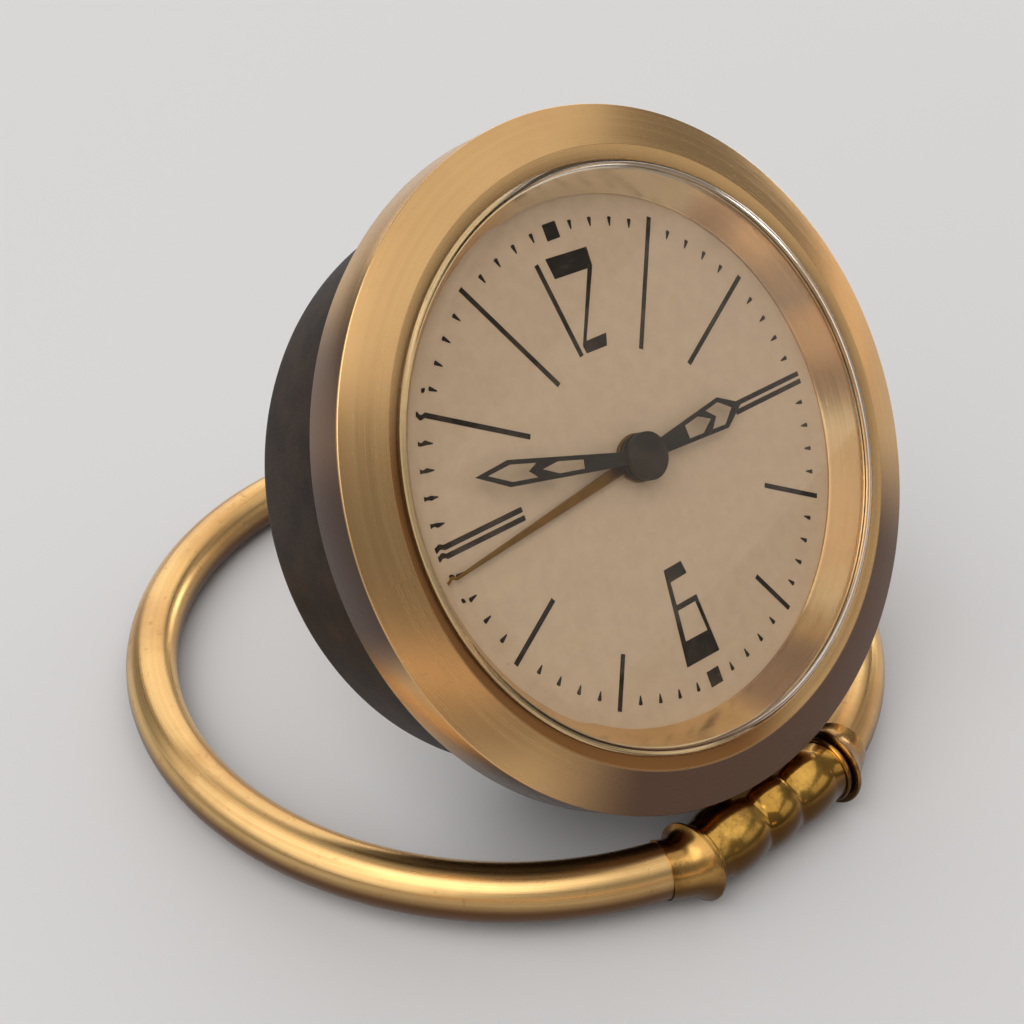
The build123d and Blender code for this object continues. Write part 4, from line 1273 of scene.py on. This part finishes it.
@dataclass
class Bezel:
    """Wide coned gold bezel, the domed crystal and the reflector ring inside it."""

    radius: float = 33.0
    depth: float = 4.93
    face_radius: float = 28.87
    rise: float = 1.25
    mouth: float = 27.6
    mouth_rise: float = 0.98
    lip_back: float = -0.15
    rebate: float = 28.9
    rebate_depth: float = -1.8
    grip: float = 31.0
    edge_round: float = 0.14
    flange: float = 28.8
    flange_rear: float = -0.9
    seat_gap: float = 0.02
    crystal_radius: float = 27.55
    crystal_wall: float = 0.6
    skirt_wall: float = 0.14
    crown: float = 3.1
    shoulder_rise: float = 2.2
    shoulder: float = 1.5
    inner_shoulder: float = 0.7
    shoulder_start: float = 84.0
    shoulder_steps: int = 14
    inner_steps: int = 10
    crown_steps: int = 28
    reflector_foot: float = 25.2
    reflector_top: float = 0.3
    reflector_lip: float = 0.2
    dial_level: float = DIAL_LEVEL
    reflector_ribs: int = 6
    rib_depth: float = 0.035
    segments: int = 256

    def frame_profile(self) -> list[Point]:
        """Closed profile of the bezel.

        Returns:
            Radius and height of its points.
        """
        soft = self.edge_round
        return filleted([
            (self.radius, 0.0, soft), (self.face_radius, self.rise, soft * 1.5),
            (self.mouth, self.mouth_rise, soft), (self.mouth, self.lip_back, 0.0),
            (self.rebate, self.lip_back, 0.0),
            (self.rebate, self.rebate_depth, 0.0), (self.grip, self.rebate_depth, 0.0),
            (self.grip, -self.depth, 0.0), (self.radius, -self.depth, soft * 1.5),
        ])

    def crystal_profile(self) -> list[Point]:
        """Closed profile of the crystal from its top round to its underside.

        Returns:
            Radius and height of its points.
        """
        crown_edge = self.crystal_radius - self.shoulder
        outside = list(reversed(dome(self.crown, (crown_edge, self.shoulder_rise), self.crown_steps)))
        middle = (crown_edge, self.shoulder_rise - self.shoulder)
        turn = arc(middle, self.shoulder, self.shoulder_start, 0.0, self.shoulder_steps)
        inside = self.crystal_radius - self.crystal_wall
        front, rear = self.lip_back - self.seat_gap, self.flange_rear + self.seat_gap
        skirt, seat = self.crystal_radius - self.skirt_wall, self.reflector_top + self.seat_gap
        foot = [
            (self.crystal_radius, front), (self.flange, front), (self.flange, rear),
            (skirt, rear), (skirt, seat), (inside, seat),
        ]
        inner_turn = self.inner_shoulder
        inner_rise = self.shoulder_rise - self.crystal_wall
        inner_middle = (inside - inner_turn, inner_rise - inner_turn)
        hollow = arc(inner_middle, inner_turn, 0.0, self.shoulder_start, self.inner_steps)
        under = dome(self.crown - self.crystal_wall, (inside - inner_turn, inner_rise), self.crown_steps)
        return outside + turn[1:] + foot + hollow + under[1:]

    def reflector_profile(self) -> list[Point]:
        """Closed profile of the reflector with fine turned ribs on its slope.

        Returns:
            Radius and height of its points.
        """
        low, high = self.dial_level + self.reflector_lip, self.reflector_top
        side = self.crystal_radius - self.skirt_wall - self.seat_gap
        top = self.crystal_radius - self.crystal_wall - self.reflector_lip
        slope = []
        for rib in range(2 * self.reflector_ribs + 1):
            share = rib / (2 * self.reflector_ribs)
            inset = self.rib_depth * (rib % 2)
            radius = self.reflector_foot + (top - self.reflector_foot) * share + inset
            slope.append((radius, low + (high - low) * share))
        return [
            (self.reflector_foot, self.dial_level), *slope, (side, high), (side, self.flange_rear),
            (self.flange, self.flange_rear), (self.flange, self.dial_level),
        ]

    def build(self, fitter: Fitter) -> None:
        """Builds and dresses the front.

        Args:
            fitter: Places the pieces.
        """
        head = fitter.layout.head
        frame = MeshShop.lathe(self.frame_profile(), self.segments)
        fitter.piece("bezel_frame", frame, head, BEZEL_GOLD.dress(head), "bezel", sharp=25.0)
        clear = MeshShop.lathe(self.crystal_profile(), self.segments)
        acrylic = CRYSTAL.dress(head)
        glass = fitter.piece("domed_crystal", clear, head, acrylic, "crystal", sharp=40.0)
        glass.visible_shadow = False
        ribs = MeshShop.lathe(self.reflector_profile(), self.segments)
        gold = REFLECTOR_GOLD.dress(head)
        fitter.piece("ribbed_reflector", ribs, head, gold, "reflector_ring", sharp=20.0)


@dataclass
class Dial:
    """Cream dial with printed lines, ticks and the numbers 12 and 6."""

    level: float = DIAL_LEVEL
    thickness: float = 0.4
    radius: float = 28.8
    hole: float = 2.2
    print_height: float = 0.02
    stroke: float = 0.5
    line_outer: float = 23.7
    line_inner: dict[int, float] = field(
        default_factory=lambda: {1: 10.6, 2: 11.95, 3: 14.0, 4: 16.5, 5: 18.4}
    )
    pair_gap: float = 0.8
    tick_radius: float = 22.6
    tick_length: float = 0.9
    tick_wide: float = 0.46
    tick_narrow: float = 0.12
    tick_shoulder: float = 0.8
    square: float = 1.6
    square_radius: float = 22.5

    def bar(self, start: Point, end: Point, width: float) -> bmesh.types.BMesh:
        """One printed stroke.

        Args:
            start: Its first end.
            end: Its other end.
            width: Its width.

        Returns:
            The stroke's mesh.
        """
        first, last = Vector(start), Vector(end)
        side = (last - first).normalized().orthogonal() * width / 2
        corners = [first + side, first - side, last - side, last + side]
        return self.patch([(corner.x, corner.y) for corner in corners])

    def patch(self, *loops: Sequence[Point]) -> bmesh.types.BMesh:
        """One printed area, given as an outline and its holes."""
        return MeshShop.plate(loops, self.level, self.level + self.print_height)

    def hour_lines(self) -> list[bmesh.types.BMesh]:
        """Lines of the hours other than twelve and six; three and nine have two.

        Returns:
            One mesh for each line.
        """
        strokes = []
        for hour in (1, 2, 3, 4, 5, 7, 8, 9, 10, 11):
            inner = self.line_inner[hour if hour < 6 else 12 - hour]
            angle = math.radians(90 - 30 * hour)
            ray = Vector((math.cos(angle), math.sin(angle)))
            side = ray.orthogonal() * (self.pair_gap / 2 if hour in (3, 9) else 0.0)
            for offset in (side, -side) if side.length else (side,):
                strokes.append(self.bar(ray * inner + offset, ray * self.line_outer + offset, self.stroke))
        return strokes

    def numbers(self) -> list[bmesh.types.BMesh]:
        """The numbers 12 and 6 and the square beyond each.

        Returns:
            One mesh for each printed area.
        """
        half = self.square / 2
        strokes = [
            self.bar((-2.99, 20.07), (-1.67, 10.78), self.stroke),
            self.patch([
                (-1.78, 20.28), (3.3, 20.03), (3.2, 18.2), (-0.55, 11.93), (1.99, 11.93), (1.56, 10.78),
                (-1.0, 10.84), (-1.15, 11.6), (2.55, 18.11), (-1.5, 18.26),
            ]),
            self.patch(
                [
                    (-1.39, -10.87), (0.95, -10.83), (1.13, -12.15), (-1.11, -12.22), (-1.35, -14.45),
                    (1.34, -14.45), (1.66, -20.44), (-2.75, -20.29),
                ],
                [(-1.45, -15.0), (0.92, -15.0), (1.12, -18.1), (-1.82, -18.0)],
            ),
        ]
        for side in (1, -1):
            middle = side * self.square_radius
            strokes.append(self.patch([
                (-half, middle - half), (half, middle - half), (half, middle + half), (-half, middle + half)
            ]))
        return strokes

    def tick(self) -> bmesh.types.BMesh:
        """One wedge-shaped minute tick, widest at its outer end.

        Returns:
            The tick's mesh, pointing outwards along x.
        """
        half = self.tick_length / 2
        broad = half * self.tick_shoulder
        return self.patch([
            (-half, -self.tick_narrow / 2), (broad, -self.tick_wide / 2), (half, -self.tick_wide / 4),
            (half, self.tick_wide / 4), (broad, self.tick_wide / 2), (-half, self.tick_narrow / 2),
        ])

    def build(self, fitter: Fitter, repeater: Repeater) -> None:
        """Builds and dresses the dial and its print.

        Args:
            fitter: Places the pieces.
            repeater: Repeats the ticks.
        """
        head = fitter.layout.head
        face = MeshShop.lathe([
            (self.hole, self.level - self.thickness), (self.radius, self.level - self.thickness),
            (self.radius, self.level), (self.hole, self.level),
        ])
        fitter.piece("dial_face", face, head, DIAL_CREAM.dress(head), "dial")
        ink = DIAL_INK.dress(head)
        printed = MeshShop.joined(self.hour_lines() + self.numbers())
        fitter.piece("dial_print", printed, head, ink, "dial", replace=False)
        ticks = repeater.copies(self.tick(), ink, 60, self.tick_radius, 90.0, 5)
        fitter.mesh_piece("minute_ticks", ticks, head, ink, "dial", replace=False)


@dataclass(frozen=True)
class HandShape:
    """Sizes of one open pointed hand, measured out from its axis."""

    reach: float
    widest: float
    width: float
    neck: float
    inner_window: tuple[float, float, float]
    outer_window: tuple[float, float, float, float]
    lift: float
    turn: float
    bore: float


@dataclass
class HandSet:
    """Black open hands, the brass alarm hand and the domed cap on their axis."""

    minute: HandShape = HandShape(
        19.2, 15.6, 2.4, 1.25, (7.2, 10.2, 12.0), (12.5, 13.4, 15.4, 17.9), lift=1.57, turn=165.0, bore=1.05
    )
    hour: HandShape = HandShape(
        14.0, 11.3, 3.2, 1.4, (6.2, 8.2, 9.7), (9.3, 10.3, 11.2, 12.7), lift=0.97, turn=2.0, bore=1.5
    )
    thickness: float = 0.25
    hub: float = 2.3
    rim: float = 0.42
    bevel: float = 0.04
    alarm_lift: float = 0.37
    alarm_turn: float = -174.0
    alarm_reach: float = 24.2
    alarm_width: float = 1.1
    alarm_tip: float = 0.24
    alarm_bore: float = 1.95
    alarm_hub: float = 2.35
    cap_lift: float = 1.82
    cap_height: float = 0.85
    cap_side: float = 0.4
    boss_steps: int = 40
    cap_steps: int = 14
    cap_segments: int = 64

    def edge(self, shape: HandShape, radius: float) -> float:
        """Half width of a hand's outline at a radius.

        Args:
            shape: The hand.
            radius: Distance from its axis.

        Returns:
            Half its width there.
        """
        if radius < shape.widest:
            share = (radius - self.hub) / (shape.widest - self.hub)
            return (shape.neck + (shape.width - shape.neck) * share) / 2
        return shape.width / 2 * (shape.reach - radius) / (shape.reach - shape.widest)

    def loops(self, shape: HandShape) -> list[list[Point]]:
        """Outline of an open hand and its three openings.

        Args:
            shape: The hand.

        Returns:
            The outer outline, the two windows and the bore.
        """
        join = math.degrees(math.asin(shape.neck / 2 / self.hub))
        boss = arc((0.0, 0.0), self.hub, join, 360.0 - join, self.boss_steps)
        blade = [(shape.widest, -shape.width / 2), (shape.reach, 0.0), (shape.widest, shape.width / 2)]
        flat, shoulder, point = shape.inner_window
        corner, notch, broad, tip = shape.outer_window
        inner = [self.edge(shape, radius) - self.rim for radius in (flat, shoulder)]
        outer = [self.edge(shape, radius) - self.rim for radius in (corner, broad)]
        first = [
            (flat, -inner[0]), (shoulder, -inner[1]), (point, 0.0), (shoulder, inner[1]), (flat, inner[0]),
        ]
        second = [
            (corner, -outer[0]), (broad, -outer[1]), (tip, 0.0), (broad, outer[1]), (corner, outer[0]),
            (notch, 0.0),
        ]
        return [boss + blade, first, second, circle((0.0, 0.0), shape.bore)]

    def build(self, fitter: Fitter) -> None:
        """Builds and dresses the hands and the cap.

        Args:
            fitter: Places the pieces.
        """
        head = fitter.layout.head
        black = HAND_BLACK.dress(head)
        for node, shape in (("minute_hand", self.minute), ("hour_hand", self.hour)):
            level = DIAL_LEVEL + shape.lift
            blade = MeshShop.plate(self.loops(shape), level, level + self.thickness, self.bevel)
            MeshShop.turn(blade, shape.turn)
            fitter.piece(f"open_{node}", blade, head, black, node)
        join = math.degrees(math.asin(self.alarm_width / 2 / self.alarm_hub))
        boss = arc((0.0, 0.0), self.alarm_hub, join, 360.0 - join, self.boss_steps)
        tip = [(self.alarm_reach, -self.alarm_tip / 2), (self.alarm_reach, self.alarm_tip / 2)]
        loops = [boss + tip, circle((0.0, 0.0), self.alarm_bore)]
        level = DIAL_LEVEL + self.alarm_lift
        pointer = MeshShop.plate(loops, level, level + self.thickness, self.bevel)
        MeshShop.turn(pointer, self.alarm_turn)
        fitter.piece("brass_alarm_hand", pointer, head, ALARM_BRASS.dress(head), "alarm_hand")
        level = DIAL_LEVEL + self.cap_lift
        top, side = level + self.cap_height, level + self.cap_side
        profile = [(0.0, level), (self.hub, level), *dome(top, (self.hub, side), self.cap_steps)]
        cap = MeshShop.lathe(profile, self.cap_segments)
        fitter.piece("domed_cap", cap, head, CAP_BLACK.dress(head), "hand_cap", sharp=50.0)


@dataclass
class CaseShell:
    """Dark turned case behind the bezel, with its back cover and screws."""

    front_radius: float = 31.0
    rear_radius: float = 28.84
    front: float = -4.93
    rear: float = -23.8
    round: float = 3.0
    bore: float = 29.4
    wall: float = 1.2
    rim_front: float = -1.8
    cover_radius: float = 24.5
    cover_thickness: float = 1.0
    ledge: float = 3.0
    screw_head: float = 1.2
    screw_height: float = 0.6
    screws: int = 3
    screw_edge: float = 0.04
    slot_width: float = 0.3
    slot_depth: float = 0.25
    plate_rear: float = -6.98
    plate_ledge: float = 1.4
    rear_wall: float = 2.0
    inner_round: float = 1.5
    cover_gap: float = 0.1
    cover_edge: float = 0.12
    mouth_round: float = 0.15
    wall_step: float = 0.2
    round_steps: int = 8
    cover_steps: int = 180
    segments: int = 256

    def shell_profile(self) -> list[Point]:
        """Closed profile of the case shell.

        Returns:
            Radius and height of its points.
        """
        seat = self.rear + self.cover_thickness
        opening, hole = self.cover_radius + self.cover_gap, self.cover_radius - self.ledge
        inner_rear = self.rear_radius - self.wall
        lip, ledge_rear = self.bore - self.plate_ledge, self.plate_rear - self.plate_ledge
        return filleted([
            (self.front_radius, self.rim_front, 0.0), (self.front_radius, self.front, 0.0),
            (self.rear_radius, self.rear, self.round), (opening, self.rear, self.mouth_round),
            (opening, seat, 0.0), (hole, seat, 0.0), (hole, seat + self.rear_wall, 0.0),
            (inner_rear, seat + self.rear_wall, self.inner_round),
            (self.front_radius - self.wall - self.wall_step, ledge_rear, 0.0),
            (lip, ledge_rear, 0.0), (lip, self.plate_rear, 0.0), (self.bore, self.plate_rear, 0.0),
            (self.bore, self.rim_front, 0.0),
        ], self.round_steps)

    def screw(self) -> bmesh.types.BMesh:
        """One screw head with its slot, standing behind the cover.

        Returns:
            The screw's mesh on the local axis.
        """
        rear = self.rear - self.screw_height
        half = self.slot_width / 2
        swing = math.degrees(math.asin(half / self.screw_head))
        bottom = rear + self.slot_depth
        floor = MeshShop.plate([circle((0.0, 0.0), self.screw_head)], bottom, self.rear)
        halves = [
            arc((0.0, 0.0), self.screw_head, swing + turn, 180.0 - swing + turn, 20) for turn in (0.0, 180.0)
        ]
        lobes = [MeshShop.plate([lobe], rear, bottom, self.screw_edge) for lobe in halves]
        return MeshShop.joined([floor, *lobes])

    def build(self, fitter: Fitter, repeater: Repeater, holes: Sequence[tuple[float, float, float]]) -> None:
        """Builds and dresses the shell, the cover and its screws.

        Args:
            fitter: Places the pieces.
            repeater: Repeats the screws.
            holes: Place and radius of each hole in the cover.
        """
        head = fitter.layout.head
        shell = MeshShop.lathe(self.shell_profile(), self.segments)
        fitter.piece("case_shell", shell, head, CASE_DARK.dress(head), "case_body", sharp=30.0)
        loops = [circle((0.0, 0.0), self.cover_radius, self.cover_steps)]
        loops += [circle((x, y), radius) for x, y, radius in holes]
        cover = MeshShop.plate(loops, self.rear, self.rear + self.cover_thickness, self.cover_edge)
        fitter.piece("turned_cover", cover, head, COVER_STEEL.dress(head), "back_cover")
        steel = PLAIN_STEEL.dress(head)
        heads = repeater.copies(self.screw(), steel, self.screws, self.cover_radius - self.ledge / 2, 0.0)
        fitter.mesh_piece("slotted_screws", heads, head, steel, "cover_screws")


@dataclass
class BackControls:
    """Two winding keys, two setting knobs and the alarm stop button."""

    level: float = -24.3
    key_span: float = 13.0
    key_wing: float = 4.6
    key_thickness: float = 1.4
    key_hub: float = 2.0
    key_edge: float = 0.3
    key_waist: float = 0.3
    hub_rounds: Corner = (0.2, 0.4, 0.1)
    lobe_steps: int = 36
    arbor: float = 1.2
    arbor_gap: float = 0.2
    setter_hole: float = 0.9
    knob_radius: float = 2.9
    knob_height: float = 3.6
    knob_edge: float = 0.2
    knob_grooves: int = 18
    groove_steps: int = 8
    groove: float = 0.2
    button_radius: float = 1.8
    button_stroke: float = 1.5
    button_round: float = 0.4
    button_gap: float = 0.05
    button_front: float = -13.78
    flange_level: float = -22.7
    flange_step: float = 0.8
    segments: int = 64

    def key(self) -> bmesh.types.BMesh:
        """Butterfly key whose wings stand across the local x axis, from local zero backwards.

        Returns:
            The key's mesh.
        """
        reach = (self.key_span - self.key_wing) / 2
        lobe = self.key_wing / 2
        waist = self.key_wing * self.key_waist
        join = math.degrees(math.asin(waist / lobe))
        left = arc((-reach, 0.0), lobe, join, 360.0 - join, self.lobe_steps)
        right = arc((reach, 0.0), lobe, -180.0 + join, 180.0 - join, self.lobe_steps)
        wings = MeshShop.plate([left + right], -self.key_thickness / 2, self.key_thickness / 2, self.key_edge)
        stand = Matrix.Translation((0.0, 0.0, -lobe)) @ Matrix.Rotation(math.radians(90.0), 4, "X")
        bmesh.ops.transform(wings, matrix=stand, verts=wings.verts)
        front, rear, bore = self.hub_rounds
        hub = MeshShop.lathe(filleted([
            (self.arbor, 0.0, 0.0), (self.key_hub, 0.0, front), (self.key_hub, -self.key_wing, rear),
            (self.arbor, -self.key_wing, bore),
        ], 4), self.segments)
        return MeshShop.joined([wings, hub])

    def knob(self) -> bmesh.types.BMesh:
        """Fluted knob from local zero backwards.

        Returns:
            The knob's mesh.
        """
        outline = []
        steps = self.knob_grooves * self.groove_steps
        for step in range(steps):
            angle = math.tau * step / steps
            dip = max(0.0, math.cos(self.knob_grooves * angle)) ** 2 * self.groove
            radius = self.knob_radius - dip
            outline.append((radius * math.cos(angle), radius * math.sin(angle)))
        return MeshShop.plate([outline], -self.knob_height, 0.0, self.knob_edge)

    def button(self) -> bmesh.types.BMesh:
        """Round stop button with the flange that keeps it behind the cover.

        Returns:
            The button's mesh.
        """
        rear, wide = self.level - self.button_stroke, self.button_radius + self.flange_step
        narrow, flange_front = self.button_radius, self.flange_level + self.flange_step
        profile = filleted([
            (0.0, rear, 0.0), (narrow, rear, self.button_round), (narrow, self.flange_level, 0.0),
            (wide, self.flange_level, 0.0), (wide, flange_front, 0.0), (narrow, flange_front, 0.0),
            (narrow, self.button_front, 0.0), (0.0, self.button_front, 0.0),
        ])
        return MeshShop.lathe(profile, self.segments)

    def build(self, fitter: Fitter, spots: dict[str, Point]) -> None:
        """Builds and dresses the controls.

        Args:
            fitter: Places the pieces.
            spots: Place of each control's node behind the cover.
        """
        head = fitter.layout.head
        for node in ("time_key", "alarm_key"):
            place = head.shifted(*spots[node], self.level)
            fitter.piece(f"winged_{node}", self.key(), place, KEY_BRASS.dress(place), node)
        for node in ("hand_setting_knob", "alarm_setting_knob"):
            place = head.shifted(*spots[node], self.level)
            fitter.piece(f"fluted_{node}", self.knob(), place, KEY_BRASS.dress(place), node)
        place = head.shifted(*spots["stop_button"])
        brass = KEY_BRASS.dress(place)
        fitter.piece("rounded_button", self.button(), place, brass, "stop_button")


def local_centre(node: str, place: Place) -> Point:
    """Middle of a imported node's corners across a frame's axis.

    Args:
        node: The node's name.
        place: The frame.

    Returns:
        Local x and y in millimetres.
    """
    mesh = bpy.data.objects[node].data
    inverse = place.matrix().inverted()
    spots = [inverse @ vertex.co for vertex in mesh.vertices]
    across = [spot.x for spot in spots]
    along = [spot.y for spot in spots]
    return ((min(across) + max(across)) / 2, (min(along) + max(along)) / 2)


@dataclass
class Movement:
    """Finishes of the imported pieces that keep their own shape."""

    finishes: dict[str, GiltMetal] = field(default_factory=lambda: {
        "plate_brass": PLATE_BRASS, "wheel_brass": WHEEL_BRASS, "steel": PLAIN_STEEL, "key_brass": KEY_BRASS,
        "cover_steel": COVER_STEEL,
    })

    def dress(self, frame: dict, head: Place) -> None:
        """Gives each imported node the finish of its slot.

        Args:
            head: Frame of the patterns.
        """
        made: dict[str, bpy.types.Material] = {}
        for thing in frame["nodes"].values():
            for holder in thing.material_slots:
                slot = holder.material.name.split(".")[0] if holder.material else "steel"
                finish = self.finishes.get(slot, PLAIN_STEEL)
                if finish.name not in made:
                    made[finish.name] = finish.dress(head)
                holder.material = made[finish.name]


@dataclass(frozen=True)
class Softbox:
    """One soft rectangular lamp: degrees from the front and above the horizon, metres, face brightness."""

    name: str
    azimuth: float
    elevation: float
    distance: float
    width: float
    height: float
    radiance: float
    colour: Colour = (1.0, 1.0, 1.0)


@dataclass
class Studio:
    """Pale floor, soft lights and the photograph's camera."""

    floor_size: float = 6.0
    floor_colour: Colour = (0.70, 0.70, 0.71)
    floor_roughness: float = 0.85
    world_colour: Colour = (0.78, 0.78, 0.80)
    world_strength: float = 0.26
    softboxes: tuple[Softbox, ...] = (
        Softbox("window", -100.0, 46.0, 0.9, 1.5, 1.1, 1.15, (1.0, 0.98, 0.95)),
        Softbox("backdrop", 150.0, 27.0, 0.9, 1.1, 0.75, 1.15, (1.0, 0.98, 0.95)),
        Softbox("panel", 66.0, 64.0, 0.8, 1.3, 0.7, 0.62, (1.0, 0.97, 0.93)),
        Softbox("key", -55.0, 62.0, 0.8, 0.6, 0.5, 1.25, (1.0, 0.97, 0.93)),
        Softbox("low_panel", 40.0, 19.0, 0.8, 0.45, 0.26, 0.44, (1.0, 0.97, 0.93)),
        Softbox("right_lamp", 100.0, 6.0, 0.6, 0.14, 0.1, 6.0, (1.0, 0.97, 0.9)),
        Softbox("right_strip", 80.0, 3.0, 0.6, 0.3, 0.1, 0.85, (1.0, 0.80, 0.58)),
        Softbox("front_strip", -28.0, 12.0, 0.6, 0.8, 0.05, 1.3, (1.0, 0.7, 0.45)),
    )
    azimuth: float = -42.441
    elevation: float = 35.228
    roll: float = 1.603
    distance: float = 139.94
    slide_right: float = -25.139
    slide_up: float = 3.949
    target_height: float = 35.0
    lens: float = 56.98
    sensor: float = 36.0
    nearest: float = 5.0

    def floor(self) -> None:
        """Lays the floor."""
        shape = bmesh.new()
        bmesh.ops.create_grid(shape, x_segments=1, y_segments=1, size=self.floor_size / 2)
        mesh = bpy.data.meshes.new("floor")
        shape.to_mesh(mesh)
        shape.free()
        material = bpy.data.materials.new("floor_pale")
        material.use_nodes = True
        shader = material.node_tree.nodes["Principled BSDF"]
        shader.inputs["Base Color"].default_value = (*self.floor_colour, 1.0)
        shader.inputs["Roughness"].default_value = self.floor_roughness
        mesh.materials.append(material)
        floor = bpy.data.objects.new("floor", mesh)
        bpy.context.scene.collection.objects.link(floor)

    def hang(self, lamp: Softbox, aim: Vector) -> None:
        """Hangs one softbox so that it faces the clock.

        Args:
            lamp: The softbox.
            aim: Point that it faces.
        """
        away = direction(lamp.azimuth, lamp.elevation)
        light = bpy.data.lights.new(lamp.name, "AREA")
        light.shape = "RECTANGLE"
        light.size, light.size_y = lamp.width, lamp.height
        light.energy = lamp.radiance * math.pi * lamp.width * lamp.height
        light.color = lamp.colour
        holder = bpy.data.objects.new(lamp.name, light)
        holder.location = aim + away * lamp.distance
        holder.rotation_euler = away.to_track_quat("Z", "Y").to_euler()
        holder.visible_camera = False
        bpy.context.scene.collection.objects.link(holder)

    def lights(self) -> None:
        """Sets the world and the softboxes."""
        world = bpy.data.worlds.new("studio")
        bpy.context.scene.world = world
        world.use_nodes = True
        sky = world.node_tree.nodes["Background"]
        sky.inputs["Color"].default_value = (*self.world_colour, 1.0)
        sky.inputs["Strength"].default_value = self.world_strength
        aim = Vector((0.0, 0.0, self.target_height * MM))
        for lamp in self.softboxes:
            self.hang(lamp, aim)

    def camera(self, hinge: Vector) -> None:
        """Sets the photograph's camera.

        Args:
            hinge: Point on the hinge axis, in metres.
        """
        turn, tip = math.radians(self.azimuth), math.radians(self.roll)
        back = direction(self.azimuth, self.elevation)
        level = Vector((math.cos(turn), math.sin(turn), 0.0))
        upright = back.cross(level)
        right = level * math.cos(tip) + upright * math.sin(tip)
        upward = upright * math.cos(tip) - level * math.sin(tip)
        target = Vector((0.0, hinge.y, self.target_height * MM))
        spot = target + (back * self.distance + right * self.slide_right + upward * self.slide_up) * MM
        lens = bpy.data.cameras.new("photo_view")
        lens.lens = self.lens
        lens.sensor_width = self.sensor
        lens.clip_start = self.nearest * MM
        camera = bpy.data.objects.new("photo_view", lens)
        camera.matrix_world = Matrix.Translation(spot) @ Matrix((right, upward, back)).transposed().to_4x4()
        bpy.context.scene.collection.objects.link(camera)
        bpy.context.scene.camera = camera

    def build(self, layout: Layout) -> None:
        """Sets the whole studio.

        Args:
            layout: Frames of the clock.
        """
        self.floor()
        self.lights()
        self.camera(layout.hinge.origin)
        bpy.context.scene.view_settings.view_transform = "Standard"


def main() -> None:
    """Builds the clock's pieces and the studio."""
    logging.basicConfig(level=logging.INFO, format="%(name)s: %(message)s")
    for thing in list(bpy.data.objects):
        bpy.data.objects.remove(thing)
    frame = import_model()
    layout = Layout.read(frame)
    fitter = Fitter(layout)
    repeater = Repeater()
    controls = ("time_key", "alarm_key", "hand_setting_knob", "alarm_setting_knob", "stop_button")
    spots = {node: local_centre(node, layout.head) for node in controls}
    Movement().dress(frame, layout.head)
    StandRing().build(fitter)
    HingeBarrel().build(fitter)
    Bezel().build(fitter)
    Dial().build(fitter, repeater)
    HandSet().build(fitter)
    back = BackControls()
    holes = [(*spots[node], back.arbor + back.arbor_gap) for node in ("time_key", "alarm_key")]
    holes += [(*spots[node], back.setter_hole) for node in ("hand_setting_knob", "alarm_setting_knob")]
    holes.append((*spots["stop_button"], back.button_radius + back.button_gap))
    CaseShell().build(fitter, repeater, holes)
    back.build(fitter, spots)
    Studio().build(layout)


if __name__ == "__main__":
    main()
